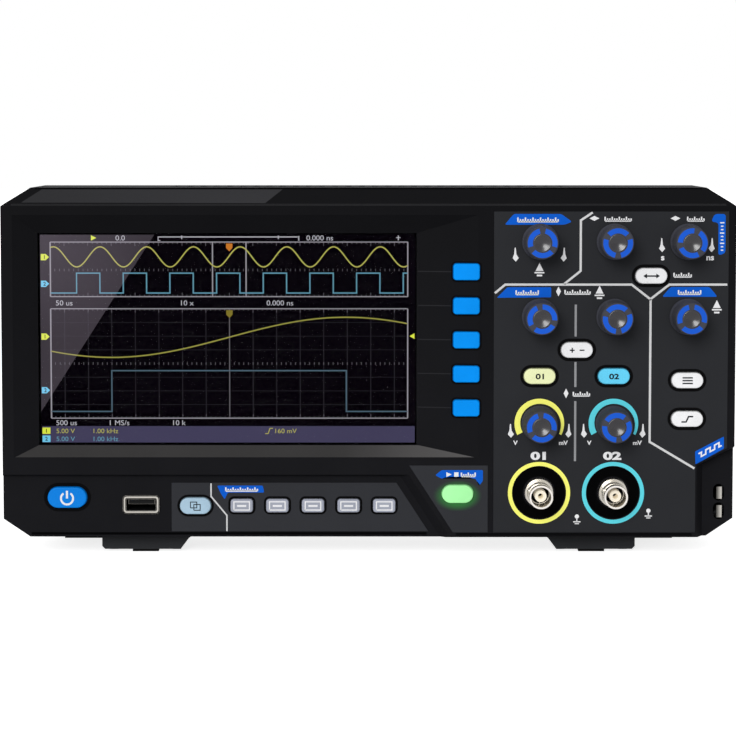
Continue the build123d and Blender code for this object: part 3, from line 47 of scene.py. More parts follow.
# ---- Camera, in millimetres and degrees ----
CAMERA_HEIGHT = 174.0
CAMERA_DISTANCE = 889.3  # from the front plane
CAMERA_SIDE = -0.203
CAMERA_PITCH = 3.24  # downwards
CAMERA_LENS = 106.63
CAMERA_SENSOR = 36.0
CAMERA_SHIFT = -0.15  # of the picture's width
CAMERA_REACH = 50.0  # metres

# ---- Printing ----
PRINT_T = 0.04  # ink and film stand this proud
SINK = 0.02  # and are let in this much
LINE = 0.9  # white separators
FINE = 0.5

# ---- Light ----
AMBIENT = 0.5
SUN_STRENGTH = 1.6
SUN_ANGLE = 30.0
SUN_FROM = (-0.35, -1.0, 0.45)
FLOOR_GLOW = 0.8
FLOOR_REACH = 6.0  # metres to each side
PALE = (0.9, 0.9, 0.9, 1.0)
WHITE = (1.0, 1.0, 1.0, 1.0)

# ---- Finishes ----
GRAIN_SHARE = 0.4  # fine grain's part in a colour's mottling
ROUGH_SPREAD = 0.08
RELIEF = 0.2  # height of the grain as a share of its size


def box_mm(node):
    """Lowest and highest corner of a CAD node in millimetres."""
    low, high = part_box(node)
    return low / MM, high / MM


def middle(node):
    """Middle of a node as seen from the front."""
    low, high = box_mm(node)
    return (low.x + high.x) / 2, (low.z + high.z) / 2


def mount_place(name):
    """A mount's place on the front, in millimetres."""
    spot = next(m for m in frame["record"]["mounts"] if m["name"] == name)["pos_m"]
    return spot[0] / MM, spot[2] / MM


# ---- Materials ----
def tone(colour, factor=1.0):
    """An sRGB colour as Blender's linear one, made lighter or darker."""
    channels = []
    for value in colour:
        share = value / 255
        linear = share / 12.92 if share <= 0.04045 else ((share + 0.055) / 1.055) ** 2.4
        channels.append(min(1.0, linear * factor))
    return *channels, 1.0


class Shading:
    """Nodes of a material or of the world, added one by one."""

    def __init__(self, owner):
        owner.use_nodes = True
        self.nodes = owner.node_tree.nodes
        self.links = owner.node_tree.links

    def feed(self, node, inputs):
        """Sets each input to a value, or links it to another node's output."""
        for socket, value in inputs.items():
            if isinstance(value, bpy.types.NodeSocket):
                self.links.new(value, node.inputs[socket])
            else:
                node.inputs[socket].default_value = value

    def add(self, kind, inputs, operation=None):
        """A new node with its inputs fed."""
        node = self.nodes.new(kind)
        if operation:
            node.operation = operation
        self.feed(node, inputs)
        return node

    def place(self):
        """Output with the place on the object."""
        return self.add("ShaderNodeTexCoord", {}).outputs["Object"]

    def noise(self, place, size, detail=2.0):
        """Output of a noise whose patches have a size in millimetres."""
        inputs = {"Vector": place, "Scale": 1 / (size * MM), "Detail": detail}
        return self.add("ShaderNodeTexNoise", inputs).outputs["Fac"]

    def spread(self, value, to_min, to_max, from_min=0.0, from_max=1.0, curve="LINEAR"):
        """Output of a value that's spread over another range."""
        node = self.add("ShaderNodeMapRange", {"Value": value, "From Min": from_min, "From Max": from_max,
                                               "To Min": to_min, "To Max": to_max})
        node.interpolation_type = curve
        return node.outputs["Result"]


def surface(name, colour, rough=0.5, gloss=0.15, grain=0.3, bump=0.05, mottle=0.12, patch=18.0, metal=0.0,
            glow=0.0, lay=(1, 1, 1), drift=None):
    """Procedural finish: mottled colour, uneven roughness and a fine moulded or brushed grain.

    A drift (axis, start, end, factor) changes the tone slowly along an axis, in millimetres."""
    material = bpy.data.materials.new(name)
    tree = Shading(material)
    place = tree.place()
    stretched = tree.add("ShaderNodeMapping", {"Vector": place, "Scale": lay}).outputs["Vector"]
    cloud = tree.noise(stretched, patch, detail=4.0)
    fine = tree.noise(stretched, grain, detail=3.0)
    part = tree.add("ShaderNodeMath", {0: cloud, 1: 1 - GRAIN_SHARE}, "MULTIPLY").outputs[0]
    blend = tree.add("ShaderNodeMath", {0: fine, 1: GRAIN_SHARE, 2: part}, "MULTIPLY_ADD").outputs[0]
    ramp = tree.add("ShaderNodeValToRGB", {"Fac": blend})
    for stop, position, factor in zip(ramp.color_ramp.elements, (0.3, 0.7), (1 - mottle, 1 + mottle)):
        stop.position = position
        stop.color = tone(colour, factor)
    tinted = ramp.outputs["Color"]
    if drift:
        axis, start, end, factor = drift
        along = tree.add("ShaderNodeSeparateXYZ", {"Vector": place}).outputs[axis]
        shade = tree.spread(along, 1.0, factor, start * MM, end * MM)
        tinted = tree.add("ShaderNodeVectorMath", {0: tinted, "Scale": shade}, "SCALE").outputs["Vector"]
    relief = tree.add("ShaderNodeBump", {"Strength": bump, "Distance": grain * MM * RELIEF, "Height": fine})
    shader = tree.nodes["Principled BSDF"]
    tree.feed(shader, {"Base Color": tinted, "Specular IOR Level": gloss, "Metallic": metal,
                       "Roughness": tree.spread(cloud, rough - ROUGH_SPREAD, rough + ROUGH_SPREAD),
                       "Normal": relief.outputs["Normal"]})
    if glow:
        tree.feed(shader, {"Emission Color": tinted, "Emission Strength": glow})
    return material


def film(name, colour, gloss=0.05):
    """Matt film on a panel."""
    return surface(name, colour, rough=0.6, gloss=gloss, grain=0.25, bump=0.12, mottle=0.06)


def ink(name, colour, rough=0.5, mottle=0.05, patch=18.0, glow=0.0):
    """Printed ink; a glow adds painted light to it."""
    return surface(name, colour, rough, gloss=0.05, grain=0.2, mottle=mottle, patch=patch, glow=glow)


def keycap(name, colour, rough=0.4, gloss=0.12, glow=0.0):
    """Moulded key, which may let light through."""
    return surface(name, colour, rough, gloss, bump=0.08, glow=glow)


def halo(name, base, light, centre, reach, strength):
    """Film with a painted pool of light from a key that glows beside it, fading outwards."""
    material = film(name, base)
    tree = Shading(material)
    middle_in = (centre[0] * MM, 0, centre[1] * MM)
    away = tree.add("ShaderNodeVectorMath", {0: tree.place(), 1: middle_in}, "SUBTRACT").outputs["Vector"]
    squash = (1 / (reach[0] * MM), 0, 1 / (reach[1] * MM))
    squashed = tree.add("ShaderNodeVectorMath", {0: away, 1: squash}, "MULTIPLY").outputs["Vector"]
    far = tree.add("ShaderNodeVectorMath", {0: squashed}, "LENGTH").outputs["Value"]
    fade = tree.spread(far, strength, 0.0, from_min=0.45, curve="SMOOTHSTEP")
    tree.feed(tree.nodes["Principled BSDF"], {"Emission Color": tone(light), "Emission Strength": fade})
    return material


def picture(name, colour):
    """Lit part of the display's picture, with a faint unevenness of its backlight."""
    material = bpy.data.materials.new(name)
    tree = Shading(material)
    ramp = tree.add("ShaderNodeValToRGB", {"Fac": tree.noise(tree.place(), 40)})
    for stop, factor in zip(ramp.color_ramp.elements, (0.9, 1.05)):
        stop.color = tone(colour, factor)
    tree.feed(tree.nodes["Principled BSDF"], {
        "Emission Color": ramp.outputs["Color"], "Emission Strength": 1.0, "Base Color": (0.002, 0.002, 0.002, 1),
        "Roughness": 0.5, "Specular IOR Level": 0.0})
    return material


def clear_glass(name):
    """Clear window with an anti-glare coating and faint wiping marks."""
    material = bpy.data.materials.new(name)
    tree = Shading(material)
    tree.feed(tree.nodes["Principled BSDF"], {
        "Roughness": tree.spread(tree.noise(tree.place(), 30, detail=6.0), 0.01, 0.05),
        "Base Color": (0.96, 0.97, 1.0, 1), "Transmission Weight": 1.0, "IOR": 1.02})
    return material


def painted_glare_film(name, colour, corner, far, depth):
    """Painted reflection: a see-through film of painted light, brightest at one corner and fading to a far point."""
    material = bpy.data.materials.new(name)
    tree = Shading(material)
    tree.nodes.remove(tree.nodes["Principled BSDF"])
    place = tree.place()
    corner_in = (corner[0] * MM, depth * MM, corner[1] * MM)
    away = tree.add("ShaderNodeVectorMath", {0: place, 1: corner_in}, "DISTANCE").outputs["Value"]
    fade = tree.spread(away, 1.1, 0.6, from_max=math.dist(corner, far) * MM)
    uneven = tree.spread(tree.noise(place, 25), 0.9, 1.1)
    both = tree.add("ShaderNodeMath", {0: fade, 1: uneven}, "MULTIPLY").outputs[0]
    light = tree.add("ShaderNodeEmission", {"Color": tone(colour), "Strength": both}).outputs[0]
    clear = tree.add("ShaderNodeBsdfTransparent", {}).outputs[0]
    joined = tree.add("ShaderNodeAddShader", {0: clear, 1: light}).outputs[0]
    tree.feed(tree.nodes["Material Output"], {"Surface": joined})
    return material


# Painted shade: the satin black housing is drawn darker upwards, from its full tone at 20 mm high to 0.6 of it at 150
# mm.
HOUSING = surface("housing_satin_black_painted_shade", (24, 24, 27), rough=0.55, gloss=0.04, grain=0.35, bump=0.25,
                  drift=("Z", 20, 150, 0.6))
SHELL = surface("rear_shell_grey", (50, 51, 54), rough=0.6, gloss=0.12, grain=0.5, bump=0.4)
FILM = film("panel_film_grey", (44, 45, 48), gloss=0.04)
INSERT_TONE = (51, 52, 56)
INSERT = film("strip_film_grey", INSERT_TONE)
# Painted highlight for the recess's upward facing bottom facet: lighter than the housing, and lighter still towards
# the right, to 2.6 times its tone from x -10 to 42 mm.
FACET_HIGHLIGHT = surface("recess_facet_painted_highlight", (58, 57, 57), gloss=0.05, bump=0.1, mottle=0.08, drift=("X", -10, 42, 2.6))
BADGE = surface("blank_badge_grey", (50, 50, 53), rough=0.45, gloss=0.1, lay=(0.1, 1, 1),
                drift=("X", -60, -140, 0.75))
KNOB = surface("knob_satin_grey", (70, 71, 79), rough=0.6, gloss=0.04, bump=0.15)
KNOB_DISH = surface("knob_dish_grey", (40, 38, 43), rough=0.26, gloss=0.9, bump=0.08)
# Blue rings on the knobs, with a faint painted glow added.
KNOB_BLUE = surface("ring_blue_painted_glow", (20, 88, 205), rough=0.4, grain=0.2, glow=0.05)
# Near black for the key rims, and for painted shade in the contact pins' holes.
BLACK = surface("rim_black_and_hole_shade", (7, 7, 8), rough=0.6, gloss=0.04, grain=0.2, bump=0.1)
# Near black for the display module's border, and for painted shade in the socket wells and bores, on the port's edges,
# in the crown's seam and along the case's low edge.
BLACK_AND_SHADE = surface("module_black_and_painted_shade", (4, 4, 5), rough=0.7, gloss=0.02, grain=0.2, bump=0.1)
# Painted highlight for the crown's rounded lower edge.
EDGE_LIGHT = surface("edge_painted_highlight", (60, 60, 62), gloss=0.1)
FINE_LINE = surface("fine_line_grey", (36, 36, 39), gloss=0.06)
NICKEL = surface("nickel_plate", (252, 246, 236), rough=0.24, gloss=0.5, grain=0.2, bump=0.04, mottle=0.04, metal=1.0)
STEEL = surface("zinc_steel", (160, 162, 166), rough=0.4, gloss=0.5, grain=0.2, bump=0.1, metal=1.0, lay=(0.08, 1, 1))
TERMINAL_X = middle("probe_terminals")[0]
# Painted highlight on the probe terminals: their metal is drawn lighter from left to right, to 5.5 times its tone
# across 1.5 mm.
TERMINAL = surface("terminal_metal_painted_highlight", (110, 108, 104), rough=0.3, gloss=0.5, grain=0.2, metal=1.0,
                   drift=("X", TERMINAL_X - 0.8, TERMINAL_X + 0.7, 5.5))
# Painted highlight for the sockets' front rims: near white, with a painted glow.
RIM_HIGHLIGHT = surface("socket_rim_painted_highlight", (240, 234, 228), rough=0.4, gloss=0.3, grain=0.2, glow=0.12)
# White insulators and plungers, with a painted glow added.
INSULATOR = surface("white_fluoropolymer_painted_glow", (250, 238, 220), rough=0.4, gloss=0.2, grain=0.2, glow=0.15)
# Black connector plastic, also used for painted shade inside the port's metal shell.
CONNECTOR = surface("connector_black_and_port_shade", (18, 18, 19), bump=0.2)
RUBBER = surface("foot_rubber", (22, 22, 23), rough=0.85, gloss=0.05, bump=0.5)
SILICONE = surface("keypad_silicone", (190, 190, 190), rough=0.6, gloss=0.2, grain=0.4, bump=0.1)
BOARD = surface("solder_mask_green", (20, 88, 50), rough=0.35, gloss=0.4, bump=0.1, patch=4.0)
RIBBON = surface("ribbon_amber", (206, 140, 60), rough=0.35, gloss=0.4, lay=(1, 1, 0.1))
GLASS = clear_glass("window_clear")

WHITE_INK = ink("ink_white", (215, 215, 216), rough=0.6)
GREY_INK = ink("ink_grey", (150, 151, 154), rough=0.6)
PALE_INK = ink("ink_pale", (240, 240, 242), mottle=0.04)
BLUE_INK = ink("ink_blue", (12, 94, 208), mottle=0.08, patch=9)
# Yellow and cyan print, each with a painted glow added.
YELLOW_INK = ink("ink_yellow_painted_glow", (244, 243, 116), glow=0.12)
CYAN_INK = ink("ink_cyan_painted_glow", (94, 212, 226), glow=0.08)
DARK_INK = ink("ink_dark", (30, 34, 40), rough=0.6, mottle=0.12)

SOFT_BLUE = keycap("softkey_blue", (0, 134, 226), rough=0.45, gloss=0.06, glow=0.22)
POWER_BLUE = keycap("power_key_blue", (0, 114, 202), glow=0.28)
COPY_PALE = keycap("copy_key_pale", (166, 194, 213), glow=0.1)
RUN_GREEN = keycap("run_key_green", (156, 230, 156), glow=0.3)
KEY_YELLOW = keycap("channel_key_yellow", (238, 243, 190), glow=0.08)
KEY_CYAN = keycap("channel_key_cyan", (98, 204, 240), glow=0.1)
KEY_SILVER = keycap("function_key_silver", (163, 167, 181), rough=0.35, gloss=0.2)
KEY_WHITE = keycap("key_white", (238, 238, 240), glow=0.06)

SCREEN = {name: picture("picture_" + name, colour) for name, colour in {
    "black": (1, 0, 2), "frame": (150, 146, 152), "grid": (36, 33, 39), "ticks": (96, 92, 98),
    "text": (186, 184, 190), "yellow": (176, 172, 84), "amber": (150, 146, 66), "mark": (222, 232, 70),
    "cyan": (96, 150, 170), "teal": (74, 98, 112), "cyan_mark": (112, 200, 232), "orange": (196, 116, 36),
    "olive": (128, 116, 40), "bar": (66, 62, 88)}.items()}

NODE_FINISH = {
    "front_housing": HOUSING, "rear_housing": SHELL, "control_plate": FILM, "function_plate": INSERT,
    "run_stop_plate": INSERT, "display_window": GLASS, "display_module": BLACK_AND_SHADE, "display_bracket": STEEL,
    "display_ribbon": RIBBON, "keypad_mats": SILICONE, "key_board": BOARD, "rotary_encoders": STEEL,
    "main_board": BOARD, "input_shield": STEEL, "supply_board": BOARD, "input_sockets": NICKEL,
    "socket_insulators": INSULATOR, "usb_host_port": NICKEL, "mains_inlet": CONNECTOR,
    "usb_device_port": NICKEL, "aux_output_socket": NICKEL, "probe_terminals": TERMINAL, "screws": STEEL,
    "hinge_pins": STEEL, "foot_pads": RUBBER, "rear_feet": RUBBER, "tilt_leg_left": SHELL,
    "tilt_leg_right": SHELL, "power_button": POWER_BLUE, "copy_button": COPY_PALE,
    "run_stop_button": RUN_GREEN, "channel_1_button": KEY_YELLOW, "channel_2_button": KEY_CYAN,
}
PREFIX_FINISH = {"softkey_": SOFT_BLUE, "function_key_": KEY_SILVER, "knob_": KNOB, "plunger_": INSULATOR}
for node_name, node in frame["nodes"].items():
    finish = NODE_FINISH.get(node_name, KEY_WHITE)
    for prefix, prefix_finish in PREFIX_FINISH.items():
        if node_name.startswith(prefix):
            finish = prefix_finish
    for slot in node.material_slots:
        slot.material = finish


# ---- Pieces and flat shapes ----
def make_piece(name, work, material, body, smooth=False):
    """Makes a mesh in progress into a piece that rides on a body."""
    bmesh.ops.recalc_face_normals(work, faces=work.faces)
    mesh = bpy.data.meshes.new(name)
    work.to_mesh(mesh)
    work.free()
    for face in mesh.polygons:
        face.use_smooth = smooth
    mesh.materials.append(material)
    item = bpy.data.objects.new(name, mesh)
    bpy.context.scene.collection.objects.link(item)
    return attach(item, body)


def turn(centre, radius, degrees):
    """Point on a circle, clockwise from the top."""
    angle = math.radians(degrees)
    return centre[0] + radius * math.sin(angle), centre[1] + radius * math.cos(angle)


def arc(centre, radius, start, end, steps=24):
    """Points along an arc, clockwise from the top."""
    return [turn(centre, radius, start + (end - start) * i / steps) for i in range(steps + 1)]


def circle(centre, radius, steps):
    """Points round a circle."""
    return arc(centre, radius, 0, 360 - 360 / steps, steps - 1)


class Drawing:
    """Flat shapes seen from the front, made into one thin raised piece."""

    def __init__(self):
        self.points = []
        self.faces = []

    def polygon(self, *corners):
        """Filled outline."""
        first = len(self.points)
        self.points += corners
        self.faces.append(tuple(range(first, first + len(corners))))
        return self

    def strip(self, one_side, other_side, closed=False):
        """Band between two rows of points."""
        first = len(self.points)
        count = len(one_side)
        self.points += list(one_side) + list(other_side)
        for i in range(count if closed else count - 1):
            j = (i + 1) % count
            self.faces.append((first + i, first + j, first + count + j, first + count + i))
        return self

    def line(self, *points, width=LINE):
        """Line of even width with mitred corners."""
        left, right = [], []
        for i, point in enumerate(points):
            before = Vector(points[max(i - 1, 0)])
            after = Vector(points[min(i + 1, len(points) - 1)])
            here = Vector(point)
            into = (here - before).normalized() if i else (after - here).normalized()
            out = (after - here).normalized() if i < len(points) - 1 else into
            along = (into + out).normalized()
            side = Vector((-along.y, along.x)) * (width / 2 / max(0.5, along.dot(into)))
            left.append(tuple(here + side))
            right.append(tuple(here - side))
        return self.strip(left, right)

    def disc(self, centre, radius, steps):
        """Filled circle."""
        return self.polygon(*circle(centre, radius, steps))

    def ring(self, centre, outer, inner, steps=72):
        """Closed ring."""
        return self.strip(circle(centre, outer, steps), circle(centre, inner, steps), closed=True)

    def rectangle(self, left, right, bottom, top):
        """Upright rectangle."""
        return self.polygon((left, bottom), (right, bottom), (right, top), (left, top))

    def label(self, text, centre, height, squeeze, weight):
        """Numbers and unit signs, centred."""
        curve = bpy.data.curves.new("label", "FONT")
        curve.body = text
        curve.offset = weight
        holder = bpy.data.objects.new("label", curve)
        bpy.context.scene.collection.objects.link(holder)
        bpy.context.view_layer.update()
        mesh = bpy.data.meshes.new_from_object(holder)
        bpy.data.objects.remove(holder)
        xs = [v.co.x for v in mesh.vertices]
        ys = [v.co.y for v in mesh.vertices]
        scale = height / (max(ys) - min(ys))
        mid_x = (max(xs) + min(xs)) / 2
        mid_y = (max(ys) + min(ys)) / 2
        first = len(self.points)
        self.points += [(centre[0] + (v.co.x - mid_x) * scale * squeeze, centre[1] + (v.co.y - mid_y) * scale)
                        for v in mesh.vertices]
        self.faces += [tuple(first + i for i in face.vertices) for face in mesh.polygons]
        bpy.data.meshes.remove(mesh)
        return self

    def piece(self, name, depth, material, body="root", proud=PRINT_T, sink=SINK):
        """The drawing as a thin solid at a depth, which is a number or a finder of the depth at a place."""
        depths = [depth(x, z) if callable(depth) else depth for x, z in self.points]
        work = bmesh.new()
        front, back = [[work.verts.new((x * MM, (y + shift) * MM, z * MM)) for (x, z), y in zip(self.points, depths)]
                       for shift in (-proud, sink)]
        uses = {}
        for face in self.faces:
            for a, b in zip(face, face[1:] + face[:1]):
                uses[frozenset((a, b))] = uses.get(frozenset((a, b)), 0) + 1
        for face in self.faces:
            work.faces.new([front[i] for i in face])
            work.faces.new([back[i] for i in reversed(face)])
            for a, b in zip(face, face[1:] + face[:1]):
                if uses[frozenset((a, b))] == 1:
                    work.faces.new((front[b], front[a], back[a], back[b]))
        return make_piece(name, work, material, body)


def capsule(centre, width, height, margin):
    """Outline of a capsule key."""
    radius = height / 2 + margin
    reach = (width - height) / 2
    x, z = centre
    return arc((x + reach, z), radius, 0, 180, 12) + arc((x - reach, z), radius, 180, 360, 12)


def rounded(centre, width, height, corner, margin=0.0):
    """Outline of a key with rounded corners."""
    points = []
    for sx, sz, start in ((1, 1, 0), (1, -1, 90), (-1, -1, 180), (-1, 1, 270)):
        place = (centre[0] + sx * (width / 2 - corner), centre[1] + sz * (height / 2 - corner))
        points += arc(place, corner + margin, start, start + 90, 5)
    return points


# ---- Places ----
PLATE_LOW, PLATE_HIGH = box_mm("control_plate")
FRONT_Y = PLATE_LOW.y
STRIP_LOW, STRIP_HIGH = box_mm("function_plate")
STRIP_Y = STRIP_LOW.y
RUN_HIGH = box_mm("run_stop_plate")[1]
HOUSING_LOW, HOUSING_HIGH = box_mm("front_housing")
WINDOW_LOW, WINDOW_HIGH = box_mm("display_window")
WINDOW_RIM = 3.0  # hidden behind the housing
VIEW_LEFT, VIEW_RIGHT = WINDOW_LOW.x + WINDOW_RIM, WINDOW_HIGH.x - WINDOW_RIM
VIEW_LOW = WINDOW_LOW.z + WINDOW_RIM
COLUMN_1, ROW_1 = middle("knob_multipurpose")
COLUMN_2 = middle("knob_horizontal_position")[0]
COLUMN_3 = middle("knob_horizontal_scale")[0]
ROW_2 = middle("knob_trigger_level")[1]
ROW_3 = middle("knob_vertical_scale_1")[1]
SOCKETS = (mount_place("input_socket_1"), mount_place("input_socket_2"))
RAY_START = -1.0  # metres, well in front of the object


def face_of(node):
    """Finder of a node's surface: the depth at a place seen from the front."""
    mesh = frame["nodes"][node].data
    tree = BVHTree.FromPolygons([v.co for v in mesh.vertices], [p.vertices for p in mesh.polygons])

    def depth(x, z):
        return tree.ray_cast(Vector((x * MM, RAY_START, z * MM)), Vector((0, 1, 0)))[0].y / MM
    return depth


on_housing = face_of("front_housing")


def on_plate(across, down):
    """A place on the control plate, from its upper left corner."""
    return PLATE_LOW.x + across, PLATE_HIGH.z - down


def on_strip(across, down):
    """A place on the function plate, from its upper left corner."""
    return STRIP_LOW.x + across, STRIP_HIGH.z - down


def on_run_plate(inward, down):
    """A place on the run plate, from its upper right corner."""
    return RUN_HIGH.x - inward, RUN_HIGH.z - down


def on_crown(across, down):
    """A place on the front housing, from its upper left corner."""
    return HOUSING_LOW.x + across, HOUSING_HIGH.z - down


# ---- Control panel printing ----
lines = Drawing()
lines.line(on_plate(40.2, 0.4), on_plate(35.4, 3.6), on_plate(35.4, 24.3), on_plate(28.7, 29.7))
lines.line(on_plate(0.4, 33.4), on_plate(4.6, 29.9), on_plate(56.3, 29.9), on_plate(64.0, 35.9),
           on_plate(71.7, 29.9), on_plate(95.4, 29.9))
lines.line(on_plate(64.1, 35.9), on_plate(64.1, 94.6), on_plate(82.6, 105.6))
lines.piece("panel_separators", FRONT_Y, WHITE_INK)

middle_lines = Drawing()
for top, bottom in ((38.1, 51.2), (61.7, 72.0), (77.8, 102.6)):
    middle_lines.line(on_plate(33.5, top), on_plate(33.5, bottom))
middle_lines.piece("panel_channel_divider", FRONT_Y, GREY_INK)


TICK_PITCH = 1.0
TICK_W = 0.58


def bevelled(drawing, corners, radius):
    """Filled outline with its corners rounded."""
    points = []
    for i, corner in enumerate(corners):
        here = Vector(corner)
        before = Vector(corners[i - 1]) - here
        after = Vector(corners[(i + 1) % len(corners)]) - here
        start = here + before.normalized() * min(radius, before.length / 2)
        end = here + after.normalized() * min(radius, after.length / 2)
        for step in (0, 0.25, 0.5, 0.75, 1):
            points.append(tuple(start * (1 - step) ** 2 + here * (2 * step * (1 - step)) + end * step ** 2))
    drawing.polygon(*points)


def ruler(drawing, centre, width, height):
    """Row of ticks on a base line, as on a scale."""
    x, z = centre
    count = max(2, round(width / TICK_PITCH))
    for i in range(count + 1):
        reach = height if i % 3 == 0 else height * 0.6
        at = x - width / 2 + width * i / count
        drawing.line((at, z - height / 2), (at, z - height / 2 + reach), width=TICK_W)
    drawing.line((x - width / 2, z - height / 2), (x + width / 2, z - height / 2), width=TICK_W)


TABS = (  # corners on the control plate, and how far they are rounded
    (((4.3, 5.4), (8.0, 1.0), (27.4, 1.0), (31.8, 4.2), (28.6, 5.4)), 0.9),
    (((1.2, 35.3), (5.5, 31.0), (23.4, 31.0), (23.4, 35.1)), 0.5),
    (((68.8, 34.9), (72.2, 30.9), (88.2, 30.9), (91.4, 34.9)), 0.9),
    (((91.6, 4.6), (88.6, 4.1), (90.0, 1.0), (94.5, 1.0), (94.5, 17.0), (91.6, 18.0)), 1.2),
    (((82.8, 98.6), (94.6, 92.4), (94.6, 97.4), (83.0, 103.9)), 0.4))
tabs = Drawing()
for corners, radius in TABS:
    bevelled(tabs, [on_plate(*corner) for corner in corners], radius)
tabs.piece("panel_blue_tabs", FRONT_Y, BLUE_INK)

RING_R = (12.8, 11.15)  # coloured ring round a socket
SCALE_R = 10.2
SCALE_TURN = 118  # scale arcs run this far to either side
SCALE_WIDTHS = (2.5, 2.1, 1.0)  # at the left end, the top and the right end
SCALE_STEPS = 48
CHANNELS = (("panel_channel_1_print", SOCKETS[0], COLUMN_1, YELLOW_INK),
            ("panel_channel_2_print", SOCKETS[1], COLUMN_2, CYAN_INK))
for name, socket, column, material in CHANNELS:
    outer, inner = [], []
    for i in range(SCALE_STEPS + 1):
        angle = -SCALE_TURN + 2 * SCALE_TURN * i / SCALE_STEPS
        end = SCALE_WIDTHS[0 if angle < 0 else 2]
        thick = SCALE_WIDTHS[1] + (end - SCALE_WIDTHS[1]) * (abs(angle) / SCALE_TURN) ** 1.5
        outer.append(turn((column, ROW_3), SCALE_R, angle))
        inner.append(turn((column, ROW_3), SCALE_R - thick, angle))
    Drawing().ring(socket, *RING_R).strip(outer, inner).piece(name, FRONT_Y, material)

WELL_FLOOR_R = (10.7, 6.6)
# Painted shade on the floors of the wells round the sockets.
well_shade = Drawing()
for socket in SOCKETS:
    well_shade.ring(socket, *WELL_FLOOR_R)
well_shade.piece("socket_well_shade", on_housing, BLACK_AND_SHADE)

SIGN_T = PRINT_T * 2  # signs are printed over the tabs
icons = Drawing()


def two_way(centre, upright):
    """Pair of opposed arrowheads."""
    length, half = 2.0, 1.0
    tips = ((length, 0), (0.0, half), (0.0, -half)), ((-length, 0), (0.0, -half), (0.0, half))
    for tip in tips:
        icons.polygon(*[(centre[0] + (b if upright else a), centre[1] + (a if upright else b)) for a, b in tip])


def push_sign(centre):
    """Arrowhead over a bar and a button: the knob also pushes in."""
    x, z = centre
    icons.polygon((x, z + 3.3), (x - 1.6, z), (x + 1.6, z))
    icons.rectangle(x - 2.0, x + 2.0, z - 1.0, z - 0.4)
    icons.rectangle(x - 1.1, x + 1.1, z - 2.2, z - 1.5)


def turn_sign(centre, side):
    """Tapering arrow that shows which way a knob is turned."""
    x, z = centre
    icons.polygon((x - side * 0.35, z + 2.9), (x + side * 0.05, z + 2.9), (x + side * 0.35, z + 0.1),
                  (x + side * 1.3, z - 1.3), (x + side * 0.1, z - 2.8), (x - side * 1.2, z - 1.4),
                  (x - side * 0.6, z + 0.2))


for place, upright in (((COLUMN_2 - 8.3, ROW_1 + 9.5), False), ((COLUMN_3 - 5.2, ROW_1 + 9.5), False),
                       ((COLUMN_1 + 7.6, ROW_2 + 10.3), True), ((COLUMN_1 + 10.9, ROW_3 + 12.4), True)):
    two_way(place, upright)
for place in ((COLUMN_1 - 0.2, ROW_1 - 12.0), (COLUMN_2 - 6.0, ROW_2 + 9.4), (COLUMN_3 + 12.0, ROW_2 + 3.5)):
    push_sign(place)
for place, side in (((COLUMN_1 - 10.0, ROW_1 - 5.4), 1), ((COLUMN_1 + 9.7, ROW_1 - 5.4), -1),
                    ((COLUMN_3 - 10.6, ROW_1 - 1.5), 1), ((COLUMN_3 + 9.7, ROW_1 - 1.5), -1),
                    ((COLUMN_1 - 11.7, ROW_3 - 3.1), 1), ((COLUMN_1 + 12.0, ROW_3 - 3.1), -1),
                    ((COLUMN_2 - 12.1, ROW_3 - 3.1), 1), ((COLUMN_2 + 12.0, ROW_3 - 3.1), -1)):
    turn_sign(place, side)
for text, place in (("s", (COLUMN_3 - 10.3, ROW_1 - 6.8)), ("ns", (COLUMN_3 + 9.1, ROW_1 - 6.8)),
                    ("V", (COLUMN_1 - 9.8, ROW_3 - 8.0)), ("mV", (COLUMN_1 + 9.9, ROW_3 - 8.0)),
                    ("V", (COLUMN_2 - 9.9, ROW_3 - 8.0)), ("mV", (COLUMN_2 + 9.9, ROW_3 - 8.0))):
    icons.label(text, place, 1.8, squeeze=1.1, weight=0.035)
for text, socket in zip(("01", "02"), SOCKETS):
    icons.label(text, (socket[0] - 0.4, socket[1] + 15.3), 3.4, squeeze=1.7, weight=0.05)
for place, width in (((COLUMN_2 + 1.4, ROW_1 + 9.3), 10.6), ((COLUMN_3 + 3.1, ROW_1 + 9.3), 6.6),
                     ((COLUMN_3 - 2.1, ROW_1 - 13.6), 7.0), ((COLUMN_1 + 15.4, ROW_2 + 10.1), 10.2),
                     ((COLUMN_1 + 17.2, ROW_3 + 12.2), 6.6), (on_plate(17.9, 3.3), 16.4),
                     (on_plate(13.6, 33.1), 9.0), (on_plate(80.0, 33.0), 9.0)):
    ruler(icons, place, width, 1.7)
for i in range(9):  # upright scale on the tab in the corner
    reach = 0.85 if i % 3 == 0 else 0.5
    down = 4.6 + 1.4 * i
    icons.line(on_plate(93.1 - reach, down), on_plate(93.1 + reach, down), width=FINE)
# Input and earth signs between and beside the sockets
for x, z in ((SOCKETS[0][0] + 15.6, SOCKETS[0][1] - 11.0), (SOCKETS[1][0] + 14.6, SOCKETS[1][1] - 8.6)):
    icons.disc((x, z + 1.2), 0.9, steps=12)
    icons.line((x, z + 0.4), (x, z - 1.0), width=0.45)
    icons.line((x - 1.5, z - 1.0), (x + 1.5, z - 1.0), width=0.45)
    icons.line((x - 0.9, z - 1.8), (x + 0.9, z - 1.8), width=0.35)
WAVE_CLIMB = 6.4 / 11.8  # slope of the lower tab
wave = ((1.4, 1.0), (2.6, 1.0), (2.6, -0.9), (4.4, -0.9), (4.4, 1.0), (6.2, 1.0), (6.2, -0.9), (8.0, -0.9),
        (8.0, 1.0), (9.8, 1.0), (9.8, -0.9), (10.9, -0.9))
icons.line(*[on_plate(82.8 + a, 101.2 - a * WAVE_CLIMB - b * 0.9) for a, b in wave], width=0.6)
icons.piece("panel_signs", FRONT_Y, PALE_INK, proud=SIGN_T)


# ---- Painted shade and highlights in the sockets and the port, and the port's tongue ----
TUBE_STEPS = 32


